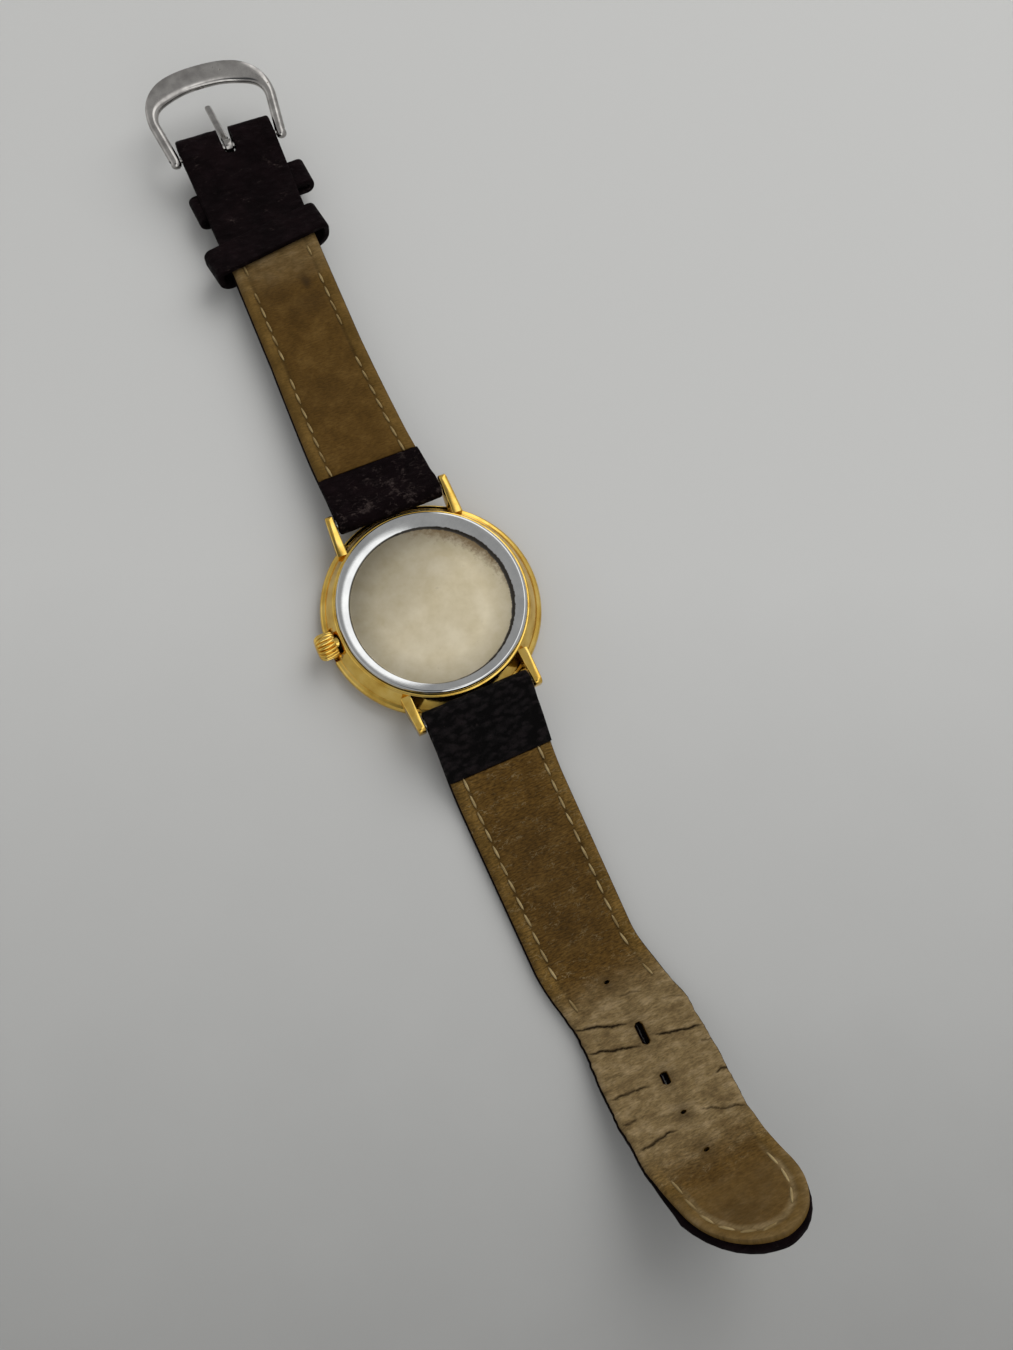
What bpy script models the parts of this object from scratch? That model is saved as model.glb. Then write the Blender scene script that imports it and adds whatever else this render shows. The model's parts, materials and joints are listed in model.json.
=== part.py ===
"""Round wristwatch on a stitched leather strap, lying on its crystal with the case back up.

Metres, +Z up. The origin is the centre of the crystal's outer face. +Y runs along the
buckle half of the strap, -Y along the half with the holes, and the crown points to -X.
"""
import math

import bmesh
import bpy
from mathutils import Matrix, Vector

MM = 0.001

# Fits and facets
FIT = 0.05 * MM                  # clearance of pivots, seats and stacked pieces
LEATHER_FIT = 0.10 * MM          # clearance round what the leather wraps
MERGE = 1e-7                     # points closer than this are one point
TURNS = 56                       # facets round the case
SMALL_TURNS = 16                 # facets round pins and arbors

# Heights, stacked from the crystal's outer face up to the case back
CRYSTAL_T = 1.20 * MM
HAND_SPACE = 1.25 * MM
DIAL_T = 0.35 * MM
MOTION_SPACE = 0.80 * MM         # hour and minute wheels, between dial and main plate
PLATE_T = 0.60 * MM
TRAIN_SPACE = 0.78 * MM          # going train, between main plate and bridge
BRIDGE_T = 0.20 * MM
BACK_SPACE = 0.27 * MM
BACK_T = 0.90 * MM

# Radii, from the movement out to the case flange
MOVEMENT_R = 12.95 * MM
RING_WALL = 1.00 * MM            # movement ring
SKIRT_STEP = 0.20 * MM           # counterbore that takes the back's skirt
BACK_GASKET_W = 0.60 * MM
LIP_WALL = 0.35 * MM             # case wall round the back's edge
BAND_FLARE = 1.40 * MM           # how far the band slopes out
FLANGE_OVERHANG = 0.90 * MM
DIAL_LEDGE = 0.85 * MM
CRYSTAL_LEDGE = 1.00 * MM
CRYSTAL_GASKET_W = 0.50 * MM
BEZEL_RIM_W = 1.10 * MM

# Case details
BEZEL_SET_BACK = 0.35 * MM       # the crystal stands this proud of the bezel
FLANGE_LOW = 1.70 * MM
FLANGE_T = 0.60 * MM
FLANGE_ROUND = 0.50 * MM
BAND_FOOT_RISE = 0.70 * MM       # from the flange's edge up to the foot of the band
BACK_PROUD = 0.95 * MM           # the back stands this proud of the lip
REBATE_DEPTH = 0.40 * MM
BACK_GASKET_T = 0.30 * MM
SKIRT_DEPTH = 0.65 * MM
SKIRT_WALL = 0.60 * MM
BACK_BEVEL = 0.30 * MM
BACK_RING_W = 1.90 * MM          # polished ring on the outside of the back
BACK_DISH = 0.15 * MM            # the ring leans in by this much
BACK_RECESS = 0.45 * MM          # the middle lies this deep below the ring
BACK_STEP = 0.15 * MM            # slope of the step down to the middle
CRYSTAL_BEVEL = 0.20 * MM

# Lugs and spring bars
LUG_GAP = 18.0 * MM
LUG_W = 1.20 * MM                # at its tip
LUG_ROOT_W = 1.60 * MM
LUG_END = 1.30 * MM              # from the spring bar to the lug's tip
LUG_ABOVE_BAR = 1.55 * MM
LUG_BELOW_BAR = 0.80 * MM
LUG_CHAMFER = 0.50 * MM
LUG_ROOT_WALL = 0.40 * MM        # the lugs start this far outside the back's edge
BAR_RISE = 0.10 * MM             # spring bar above the case lip
BAR_R = 0.75 * MM
BAR_PIN_R = 0.40 * MM
BAR_PIN_DEPTH = 0.70 * MM
BAR_END_GAP = 0.10 * MM
STRAP_CASE_GAP = 0.35 * MM

# Crown and stem
STEM_RISE = 0.40 * MM            # stem above the main plate's front
STEM_R = 0.45 * MM
STEM_END_X = -5.5 * MM
TUBE_WALL = 0.35 * MM
TUBE_PROUD = 0.80 * MM
CROWN_R = 2.15 * MM
CROWN_L = 3.10 * MM
CROWN_FLUTES = 18
CROWN_FLUTE_DEPTH = 0.16 * MM
CROWN_GAP = 0.20 * MM
CROWN_ROOM = 0.40 * MM           # notch in the flange, round the crown
CROWN_SEAL_W = 0.40 * MM
CROWN_SEAL_L = 0.50 * MM
FACET_OUT = 0.75 * MM            # flat behind the crown, outside the lip
CROWN_PULL = 1.00 * MM
CLUTCH_R = 1.00 * MM
CLUTCH_L = 1.60 * MM
CLUTCH_X = -8.4 * MM
CLUTCH_TEETH = 10

# Dial and hands
MARKER_W = 0.60 * MM
MARKER_L = 2.20 * MM
MARKER_T = 0.25 * MM
MARKER_EDGE = 1.40 * MM          # from the dial opening to the marker's outer end
HAND_T = 0.15 * MM
MINUTE_HAND_L = 11.0 * MM
HOUR_HAND_L = 7.4 * MM
HAND_W = 0.80 * MM
HAND_TAIL = 2.4 * MM
HAND_CRYSTAL_GAP = 0.25 * MM
HAND_STEP = 0.40 * MM            # from the minute hand to the hour hand
SHOWN_HOURS = 10
SHOWN_MINUTES = 8

# Motion works and going train
CENTRE_R = 0.25 * MM             # centre wheel's shaft
CANNON_WALL = 0.15 * MM
PIPE_WALL = 0.25 * MM            # hour wheel's pipe
PIVOT_R = 0.15 * MM
WHEEL_T = 0.12 * MM
PINION_EXTRA = 0.05 * MM         # a pinion is this much longer than its wheel at each end
TRAIN_STEP = 0.22 * MM           # between wheels in the going train
MOTION_STEP = 0.32 * MM          # between wheels in the motion works
CANNON_TEETH = 8
MINUTE_TEETH = 24
MINUTE_PINION_TEETH = 8
HOUR_TEETH = 32
MOTION_DISTANCE = 2.80 * MM
CENTRE_TEETH = 24
THIRD_PINION_TEETH = 8
THIRD_TEETH = 35
IDLER_PINION_TEETH = 7
IDLER_TEETH = 36
ROTOR_PINION_TEETH = 6
TRAIN_DISTANCE = 2.40 * MM
ROTOR_R = 0.60 * MM
ROTOR_GAP = 0.20 * MM
STATOR_T = 0.20 * MM
STATOR_RIM = 0.50 * MM

# Places on the main plate, from the centre of the watch
MINUTE_ANGLE = math.radians(150)
THIRD_ANGLE = math.radians(60)
IDLER_ANGLE = math.radians(100)
ROTOR_ANGLE = math.radians(180)
COIL_X = -0.8 * MM
COIL_Y = 8.6 * MM
COIL_L = 9.2 * MM
COIL_R = 0.80 * MM
CORE_W = 1.20 * MM
CORE_T = 0.15 * MM
CORE_PAD = 1.60 * MM
CELL_X = 5.0 * MM
CELL_Y = -6.0 * MM
CELL_R = 4.75 * MM
CELL_CAP_R = 4.20 * MM
CELL_CAP_H = 0.75 * MM
CLAMP_W = 1.60 * MM
CLAMP_T = 0.08 * MM
CLAMP_REACH = 4.5 * MM
CAN_X = -6.0 * MM
CAN_Y = -6.5 * MM
CAN_L = 6.0 * MM
CAN_R = 0.70 * MM
CAN_RISE = 0.40 * MM
BOARD_T = 0.15 * MM
CHIP_R = 0.90 * MM
CHIP_H = 0.35 * MM
PILLAR_R = 0.70 * MM
PILLARS = ((-4.6 * MM, 3.4 * MM), (4.6 * MM, 4.2 * MM), (0.0 * MM, -2.9 * MM))
SCREW_R = 0.30 * MM
SCREW_HEAD_R = 0.55 * MM
SCREW_HEAD_T = 0.14 * MM
SCREW_DEPTH = 0.60 * MM

# Strap leather
LEATHER_T = 1.00 * MM
LINING_T = 1.10 * MM
LAYER_GAP = 0.05 * MM
FOLD_RUN = 4.0 * MM              # where the two layers close up behind a bar
FOLD_TURN = math.radians(100)
LUG_STRAP_W = 17.4 * MM
SWAY_L = 12.0 * MM               # length over which a half leaves the middle of its bar
END_GAP = 0.15 * MM              # between a folded end and the lining

# Buckle half of the strap
SHORT_L = 71.0 * MM              # from spring bar to buckle bar
SHORT_FOLD = 9.5 * MM            # folded end at the lug
BUCKLE_FOLD = 19.6 * MM          # folded end at the buckle, which ends under the loose keeper
BUCKLE_SPREAD_L = 25.0 * MM      # length over which the end spreads
SHORT_WAIST_W = 15.8 * MM        # narrowest, where the taper ends
SHORT_TAPER_L = 30.0 * MM
BUCKLE_STRAP_W = 16.5 * MM
SHORT_SWAY = -0.45 * MM          # the worn leather lies a little to one side here
BUCKLE_X = 0.50 * MM             # and carries the buckle to the other
BUCKLE_LOOP_SLACK = 1.7 * MM     # the folded end is looser than its bar
LAY_DOWN = 26.0 * MM             # length over which it comes down from the lug
BUCKLE_RISE_L = 11.0 * MM
BUCKLE_RISE = 1.7 * MM

# Half with the holes
LONG_FLAT_L = 46.8 * MM          # from spring bar to where the strap curls up
LONG_FOLD = 11.3 * MM
LONG_LAY_DOWN = 15.5 * MM
CURL_R = 40.8 * MM
CURL_L = 40.2 * MM
MID_STRAP_W = 16.4 * MM
WORN_STRAP_W = 18.4 * MM         # flattened and spread where it was buckled
TAIL_STRAP_W = 17.2 * MM
TIP_L = 9.7 * MM
LONG_SWAY = -0.30 * MM
SIDE_SHIFT = 2.50 * MM           # the worn tail lies this far to one side
SHIFT_FROM = 39.2 * MM
SHIFT_TO = 53.8 * MM
TIP_SHIFT = 3.10 * MM            # the tip bends further that way
TIP_SHIFT_L = 18.2 * MM
WORN_AT = 61.2 * MM
TAIL_AT = 76.3 * MM
HOLE_R = 0.85 * MM
HOLES = (                        # distance from the spring bar, and how far wear has drawn each hole out
    (45.3 * MM, 0.0), (52.9 * MM, 2.1 * MM), (60.6 * MM, 0.6 * MM), (66.0 * MM, 0.0), (71.8 * MM, 0.0),
)

# Keepers
KEEPER_L = 5.0 * MM
KEEPER_WALL = 1.05 * MM
KEEPER_SIDE = 0.80 * MM          # slack beside the strap
KEEPER_SLACK = 0.35 * MM         # slack over the strap and the tucked-in tail
KEEPER_CORNER = 2.4 * MM         # the loops lie squashed and round under the strap
KEEPER_TOP_CORNER = 0.85 * MM    # tighter, so that the strap's square edges pass
KEEPER_LIFT = 0.20 * MM          # from the lining up to the loose keeper
KEEPER_TO_BUCKLE = 8.2 * MM      # from the fixed keeper's middle to the buckle bar
KEEPER_SPACING = 11.3 * MM       # from the fixed keeper to the loose one
SEWN_CORNER = 0.6 * MM           # where the fixed keeper's ends bend in to the strap
FIXED_KEEPER_X = 0.80 * MM       # its loop lies off the strap's middle
FIXED_KEEPER_SKEW = math.radians(3.6)
FREE_KEEPER_X = -0.43 * MM
FREE_KEEPER_SKEW = math.radians(9.0)

# Buckle
BUCKLE_TILT = math.radians(13)
LEG_X = 9.40 * MM                # at the bar
SHOULDER_X = 10.3 * MM
SHOULDER_AT = 6.6 * MM
ARCH_AT = 12.65 * MM
ARCH_ROUND = 2.4                 # squareness of the arch, 2 is an ellipse
LEG_W = 1.80 * MM
LEG_T = 1.50 * MM
ARCH_W = 3.80 * MM
ARCH_SPREAD = 0.7                # share of the bend over which the legs grow to the arch
ARCH_T = 1.30 * MM
LEG_END = 1.00 * MM
BUCKLE_BAR_R = 0.60 * MM
TONGUE_L = 12.4 * MM
TONGUE_W = 1.30 * MM
TONGUE_T = 0.90 * MM
TONGUE_RING = 0.50 * MM          # wall of its loop round the bar
TONGUE_DROOP = math.radians(-15)
SLOT_W = 2.20 * MM
SLOT_BEHIND_BAR = 2.0 * MM

# Heights that follow
Z_CRYSTAL_INNER = CRYSTAL_T
Z_CRYSTAL_SEAT = Z_CRYSTAL_INNER + FIT
Z_DIAL_FACE = Z_CRYSTAL_INNER + HAND_SPACE
Z_DIAL_SEAT = Z_DIAL_FACE - FIT
Z_DIAL_BACK = Z_DIAL_FACE + DIAL_T
Z_PLATE_FRONT = Z_DIAL_BACK + MOTION_SPACE
Z_PLATE_BACK = Z_PLATE_FRONT + PLATE_T
Z_BRIDGE_FRONT = Z_PLATE_BACK + TRAIN_SPACE
Z_BRIDGE_BACK = Z_BRIDGE_FRONT + BRIDGE_T
Z_BACK_INNER = Z_BRIDGE_BACK + BACK_SPACE
Z_BACK_OUTER = Z_BACK_INNER + BACK_T
Z_CLAMP = Z_BACK_INNER - SCREW_HEAD_T - CLAMP_T - 2 * FIT
Z_LIP = Z_BACK_OUTER - BACK_PROUD
Z_REBATE = Z_LIP - REBATE_DEPTH
Z_BACK_RIM = Z_REBATE + BACK_GASKET_T + 2 * FIT
Z_SKIRT = Z_BACK_RIM - SKIRT_DEPTH
Z_SKIRT_FLOOR = Z_SKIRT - BACK_GASKET_T
Z_FLANGE_TOP = FLANGE_LOW + FLANGE_T
Z_BAND_FOOT = Z_FLANGE_TOP + BAND_FOOT_RISE
Z_STEM = Z_PLATE_FRONT + STEM_RISE
Z_BAR = Z_LIP + BAR_RISE
Z_MINUTE_HAND = Z_CRYSTAL_INNER + HAND_CRYSTAL_GAP
Z_HOUR_HAND = Z_MINUTE_HAND + HAND_STEP

# Radii that follow
RING_INNER = MOVEMENT_R + FIT
RING_OUTER = RING_INNER + RING_WALL
CASE_BORE = RING_OUTER + FIT
BACK_BORE = CASE_BORE + SKIRT_STEP
REBATE_R = BACK_BORE + BACK_GASKET_W
BACK_R = REBATE_R - FIT
LIP_R = REBATE_R + LIP_WALL
BAND_FOOT_R = LIP_R + BAND_FLARE
FLANGE_R = BAND_FOOT_R + FLANGE_OVERHANG
OPENING_R = CASE_BORE - DIAL_LEDGE
CRYSTAL_R = OPENING_R + CRYSTAL_LEDGE
CRYSTAL_BORE = CRYSTAL_R + CRYSTAL_GASKET_W + 2 * FIT
BEZEL_RIM_R = CRYSTAL_BORE + BEZEL_RIM_W
FACET_X = LIP_R + FACET_OUT
CROWN_X = FACET_X + CROWN_GAP
TUBE_BORE = STEM_R + FIT
TUBE_R = TUBE_BORE + TUBE_WALL
CANNON_R = CENTRE_R + FIT + CANNON_WALL
PIPE_R = CANNON_R + FIT + PIPE_WALL

# Bars and strap levels that follow
FOLD_R = BAR_R + LEATHER_FIT + LEATHER_T
BAR_Y = LIP_R + FOLD_R + STRAP_CASE_GAP
STRAP_HALF_LEATHER = LAYER_GAP / 2 + LEATHER_T
STRAP_HALF_LINING = LAYER_GAP / 2 + LINING_T
STRAP_T = STRAP_HALF_LEATHER + STRAP_HALF_LINING
Z_LONG = STRAP_HALF_LEATHER
KEEPER_ROOM = STRAP_T + KEEPER_SLACK
Z_SHORT = KEEPER_WALL + KEEPER_ROOM + STRAP_HALF_LEATHER
BUCKLE_Y = BAR_Y + SHORT_L
Z_BUCKLE = Z_SHORT + BUCKLE_RISE
LONG_L = LONG_FLAT_L + CURL_L
FIXED_KEEPER_AT = SHORT_L - KEEPER_TO_BUCKLE
FREE_KEEPER_AT = FIXED_KEEPER_AT - KEEPER_SPACING

# Wheel places that follow
MINUTE_AT = Vector((math.cos(MINUTE_ANGLE), math.sin(MINUTE_ANGLE))) * MOTION_DISTANCE
THIRD_AT = Vector((math.cos(THIRD_ANGLE), math.sin(THIRD_ANGLE))) * TRAIN_DISTANCE
IDLER_AT = THIRD_AT + Vector((math.cos(IDLER_ANGLE), math.sin(IDLER_ANGLE))) * TRAIN_DISTANCE
ROTOR_AT = IDLER_AT + Vector((math.cos(ROTOR_ANGLE), math.sin(ROTOR_ANGLE))) * TRAIN_DISTANCE


# Colours and finishes
def finish(name, colour, roughness, metallic):
    """A plain Principled material."""
    made = bpy.data.materials.new(name)
    made.use_nodes = True
    shader = made.node_tree.nodes["Principled BSDF"]
    shader.inputs["Base Color"].default_value = (*colour, 1.0)
    shader.inputs["Roughness"].default_value = roughness
    shader.inputs["Metallic"].default_value = metallic
    return made


def make_finishes():
    return {
        "gold": finish("gold_plate", (0.80, 0.55, 0.16), 0.18, 1.0),
        "steel": finish("polished_steel", (0.62, 0.61, 0.58), 0.22, 1.0),
        "glass": finish("mineral_glass", (0.85, 0.90, 0.90), 0.05, 0.0),
        "rubber": finish("black_rubber", (0.03, 0.03, 0.03), 0.60, 0.0),
        "nylon": finish("white_nylon", (0.80, 0.80, 0.76), 0.45, 0.0),
        "dial": finish("ivory_dial", (0.86, 0.83, 0.74), 0.40, 0.0),
        "brass": finish("movement_brass", (0.70, 0.55, 0.28), 0.30, 1.0),
        "board": finish("circuit_board", (0.05, 0.22, 0.12), 0.50, 0.0),
        "resin": finish("black_resin", (0.02, 0.02, 0.02), 0.35, 0.0),
        "copper": finish("copper_wire", (0.60, 0.24, 0.10), 0.35, 1.0),
        "plastic": finish("grey_plastic", (0.35, 0.35, 0.35), 0.50, 0.0),
        "dark_leather": finish("dark_brown_leather", (0.022, 0.013, 0.012), 0.55, 0.0),
        "lining": finish("tan_lining_leather", (0.20, 0.12, 0.04), 0.75, 0.0),
    }


# Modelling helpers
def add_object(name, bm, look, sharp=35):
    """Closes the bmesh into a named object with smooth round sides."""
    bmesh.ops.remove_doubles(bm, verts=bm.verts, dist=MERGE)
    bmesh.ops.recalc_face_normals(bm, faces=bm.faces)
    mesh = bpy.data.meshes.new(name)
    bm.to_mesh(mesh)
    bm.free()
    mesh.materials.append(look)
    mesh.shade_smooth()
    mesh.set_sharp_from_angle(angle=math.radians(sharp))
    made = bpy.data.objects.new(name, mesh)
    bpy.context.scene.collection.objects.link(made)
    return made


def axis_empty(name, place):
    """An empty on a joint's axis."""
    empty = bpy.data.objects.new(name, None)
    empty.location = place
    empty.empty_display_size = 2 * MM
    bpy.context.scene.collection.objects.link(empty)
    return empty


def hang_on(empty, *pieces):
    """Parents pieces to a joint's empty, with their origins on its axis."""
    for piece in pieces:
        piece.data.transform(Matrix.Translation(-empty.location))
        piece.parent = empty


def tool(made):
    """Marks an object as a cutter or a building shape that isn't a piece."""
    made.hide_render = True
    made.display_type = "WIRE"
    return made


def combine(body, operation, *tools):
    """Cuts or joins the tools into the body with exact Booleans."""
    for shape in tools:
        change = body.modifiers.new(shape.name, "BOOLEAN")
        change.operation = operation
        change.solver = "EXACT"
        change.object = tool(shape)
    return body


def turned(profile, segments=TURNS):
    """Spins a closed (radius, height) profile round Z."""
    bm = bmesh.new()
    verts = [bm.verts.new((r, 0, z)) for r, z in profile]
    edges = []
    for start, end in zip(verts, verts[1:] + verts[:1]):
        if start.co.x > MERGE or end.co.x > MERGE:
            edges.append(bm.edges.new((start, end)))
    bmesh.ops.spin(bm, geom=verts + edges, cent=(0, 0, 0), axis=(0, 0, 1),
                   angle=2 * math.pi, steps=segments, use_merge=True)
    return bm


def ring_profile(inner, outer, low, high):
    return [(inner, high), (outer, high), (outer, low), (inner, low)]


def disc_profile(radius, low, high):
    return [(0, high), (radius, high), (radius, low), (0, low)]


def prism(outline, low, high):
    """Extrudes an (x, y) outline from one height to another."""
    bm = bmesh.new()
    face = bm.faces.new([bm.verts.new((x, y, low)) for x, y in outline])
    grown = bmesh.ops.extrude_face_region(bm, geom=[face])
    moved = [item for item in grown["geom"] if isinstance(item, bmesh.types.BMVert)]
    bmesh.ops.translate(bm, verts=moved, vec=(0, 0, high - low))
    return bm


def circle(radius, segments=SMALL_TURNS, centre=(0, 0)):
    steps = [2 * math.pi * i / segments for i in range(segments)]
    return [(centre[0] + radius * math.cos(a), centre[1] + radius * math.sin(a)) for a in steps]


def rectangle(x0, x1, y0, y1):
    return [(x0, y0), (x1, y0), (x1, y1), (x0, y1)]


def shift(bm, x=0.0, y=0.0, z=0.0):
    bmesh.ops.translate(bm, verts=bm.verts, vec=(x, y, z))
    return bm


def along_x(bm, y, z):
    """Lays a shape made along Z down along X, with its axis at the given y and z."""
    turn = Matrix.Rotation(math.pi / 2, 3, "Y")
    bmesh.ops.rotate(bm, verts=bm.verts, cent=(0, 0, 0), matrix=turn)
    return shift(bm, y=y, z=z)


def rod_x(radius, x0, x1, y, z, segments=SMALL_TURNS):
    return along_x(prism(circle(radius, segments), x0, x1), y, z)


def block(x0, x1, y0, y1, z0, z1):
    return prism(rectangle(x0, x1, y0, y1), z0, z1)


def gear_outline(teeth, module, phase=0.0):
    """Trapezoid teeth with backlash."""
    pitch = 2 * math.pi / teeth
    root = module * (teeth / 2 - 1.2)
    tip = module * (teeth / 2 + 0.85)
    points = []
    for i in range(teeth):
        middle = phase + i * pitch
        for radius, share in ((root, -0.29), (tip, -0.12), (tip, 0.12), (root, 0.29)):
            angle = middle + share * pitch
            points.append((radius * math.cos(angle), radius * math.sin(angle)))
    return points


def meshing_phase(teeth, phase, angle, other_teeth):
    """Phase of a wheel that meshes with a wheel of known phase, seen along an angle."""
    pitch = 2 * math.pi / teeth
    other_pitch = 2 * math.pi / other_teeth
    share = ((angle - phase) / pitch) % 1.0
    return angle + math.pi - other_pitch * (0.5 - share)


def wheel(name, look, place, layers):
    """Joins stacked outlines, each (outline, low, high), into one wheel on its arbor."""
    first, *rest = layers
    body = add_object(name, shift(prism(*first), *place), look)
    for index, layer in enumerate(rest):
        part = add_object(f"{name}_layer_{index}", shift(prism(*layer), *place), look)
        combine(body, "UNION", part)
    return body


# Case
def make_case(looks):
    profile = [
        (CRYSTAL_BORE, BEZEL_SET_BACK),
        (BEZEL_RIM_R, BEZEL_SET_BACK),
        (FLANGE_R - FLANGE_ROUND, FLANGE_LOW - FLANGE_ROUND),
        (FLANGE_R, FLANGE_LOW),
        (FLANGE_R, Z_FLANGE_TOP),
        (FLANGE_R - FLANGE_ROUND / 2, Z_FLANGE_TOP + FLANGE_ROUND),
        (BAND_FOOT_R + FIT, Z_BAND_FOOT - 2 * FIT),
        (BAND_FOOT_R, Z_BAND_FOOT),
        (LIP_R + LIP_WALL / 2, Z_LIP - LIP_WALL / 2),
        (LIP_R, Z_LIP),
        (REBATE_R, Z_LIP),
        (REBATE_R, Z_REBATE),
        (BACK_BORE, Z_REBATE),
        (BACK_BORE, Z_SKIRT_FLOOR),
        (CASE_BORE, Z_SKIRT_FLOOR),
        (CASE_BORE, Z_DIAL_SEAT),
        (OPENING_R, Z_DIAL_SEAT),
        (OPENING_R, Z_CRYSTAL_SEAT),
        (CRYSTAL_BORE, Z_CRYSTAL_SEAT),
    ]
    case = add_object("case_middle", turned(profile[::-1]), looks["gold"])
    for side in (-1, 1):
        for end in (-1, 1):
            combine(case, "UNION", make_lug(looks, side, end))
    notch = block(-FLANGE_R - CROWN_L, -FACET_X, -CROWN_R - CROWN_ROOM, CROWN_R + CROWN_ROOM,
                  Z_STEM - CROWN_R - CROWN_ROOM, Z_BACK_OUTER)
    bore = rod_x(TUBE_R + FIT, -FLANGE_R, -CASE_BORE + RING_WALL, 0, Z_STEM)
    combine(case, "DIFFERENCE", add_object("crown_notch", notch, looks["gold"]),
            add_object("tube_hole", bore, looks["gold"]))
    for end in (-1, 1):
        pins = rod_x(BAR_PIN_R + FIT, -LUG_GAP / 2 - BAR_PIN_DEPTH - FIT,
                     LUG_GAP / 2 + BAR_PIN_DEPTH + FIT, end * BAR_Y, Z_BAR)
        combine(case, "DIFFERENCE", add_object(f"lug_holes_{end}", pins, looks["gold"]))
    return case


def make_lug(looks, side, end):
    """One lug, extruded across its width from its side outline and thinned towards its tip."""
    inner = LUG_GAP / 2
    root = math.sqrt((REBATE_R + LUG_ROOT_WALL) ** 2 - inner ** 2)
    tip = BAR_Y + LUG_END
    top = Z_BAR + LUG_ABOVE_BAR
    outline = [
        (root, Z_FLANGE_TOP - FLANGE_T),
        (math.sqrt(FLANGE_R ** 2 - inner ** 2), Z_FLANGE_TOP),
        (tip - LUG_CHAMFER, Z_BAR - LUG_BELOW_BAR - LUG_CHAMFER),
        (tip, Z_BAR - LUG_BELOW_BAR),
        (tip, top - LUG_CHAMFER),
        (tip - LUG_CHAMFER, top),
        (root, Z_LIP - 2 * FIT),
    ]
    bm = prism([(-z, y * end) for y, z in outline], inner, inner + LUG_W)
    for vert in bm.verts:
        if vert.co.z > inner + LUG_W / 2:
            vert.co.z += (LUG_ROOT_W - LUG_W) * (tip - abs(vert.co.y)) / (tip - root)
        vert.co.z *= side
    return add_object(f"lug_{side}_{end}", along_x(bm, 0, 0), looks["gold"])


def make_case_back(looks):
    ring_inner = BACK_R - BACK_BEVEL - BACK_RING_W
    skirt = BACK_BORE - FIT
    profile = [
        (0, Z_BACK_OUTER - BACK_RECESS),
        (ring_inner, Z_BACK_OUTER - BACK_RECESS),
        (ring_inner + BACK_STEP, Z_BACK_OUTER - BACK_DISH),
        (BACK_R - BACK_BEVEL, Z_BACK_OUTER),
        (BACK_R, Z_BACK_OUTER - BACK_BEVEL),
        (BACK_R, Z_BACK_RIM),
        (skirt, Z_BACK_RIM),
        (skirt, Z_SKIRT),
        (skirt - SKIRT_WALL, Z_SKIRT),
        (skirt - SKIRT_WALL, Z_BACK_INNER),
        (0, Z_BACK_INNER),
    ]
    add_object("case_back", turned(profile), looks["steel"])
    gasket = ring_profile(BACK_BORE, REBATE_R - FIT, Z_REBATE + FIT, Z_REBATE + FIT + BACK_GASKET_T)
    add_object("case_back_gasket", turned(gasket), looks["rubber"])


def make_crystal(looks):
    profile = [
        (0, Z_CRYSTAL_INNER),
        (CRYSTAL_R, Z_CRYSTAL_INNER),
        (CRYSTAL_R, CRYSTAL_BEVEL),
        (CRYSTAL_R - CRYSTAL_BEVEL, 0),
        (0, 0),
    ]
    add_object("crystal", turned(profile), looks["glass"])
    gasket = ring_profile(CRYSTAL_R + FIT, CRYSTAL_BORE - FIT, BEZEL_SET_BACK, Z_CRYSTAL_INNER)
    add_object("crystal_gasket", turned(gasket), looks["nylon"])


# Crown, stem and clutch
def make_crown(looks):
    tube = turned(ring_profile(TUBE_BORE, TUBE_R, CASE_BORE - FIT, FACET_X + TUBE_PROUD), SMALL_TURNS)
    turn = Matrix.Rotation(-math.pi / 2, 3, "Y")
    bmesh.ops.rotate(tube, verts=tube.verts, cent=(0, 0, 0), matrix=turn)
    add_object("crown_tube", shift(tube, z=Z_STEM), looks["gold"])
    outer = -CROWN_X - CROWN_L
    crown = add_object("crown", fluted_barrel(outer, -CROWN_X), looks["gold"])
    recess_end = -FACET_X - TUBE_PROUD - CROWN_GAP
    recess = rod_x(TUBE_R + CROWN_SEAL_W + 2 * FIT, recess_end, -FACET_X + CROWN_GAP, 0, Z_STEM, 24)
    thread = rod_x(STEM_R + FIT, outer + CROWN_L / 4, recess_end + FIT, 0, Z_STEM)
    combine(crown, "DIFFERENCE", add_object("crown_recess", recess, looks["gold"]),
            add_object("crown_thread", thread, looks["gold"]))
    stem = add_object("winding_stem", stem_shape(outer + CROWN_L / 4 + FIT), looks["steel"])
    seal = turned(ring_profile(TUBE_R + FIT, TUBE_R + CROWN_SEAL_W + FIT, 0, CROWN_SEAL_L), SMALL_TURNS)
    seal_x = -CROWN_X - FIT - CROWN_SEAL_L
    seal = add_object("crown_seal", shift(along_x(seal, 0, Z_STEM), x=seal_x), looks["rubber"])
    clutch = prism(gear_outline(CLUTCH_TEETH, CLUTCH_R * 2 / (CLUTCH_TEETH + 1.7)), 0, CLUTCH_L)
    clutch = add_object("sliding_pinion", shift(along_x(clutch, 0, Z_STEM), x=CLUTCH_X), looks["steel"])
    square = STEM_R * math.sqrt(0.5) + FIT
    hole = block(CLUTCH_X - FIT, CLUTCH_X + CLUTCH_L + FIT, -square, square, Z_STEM - square, Z_STEM + square)
    combine(clutch, "DIFFERENCE", add_object("clutch_square", hole, looks["steel"]))
    hang_on(axis_empty("crown_axis", Vector((-CROWN_X, 0, Z_STEM))), crown, stem, seal, clutch)


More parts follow.
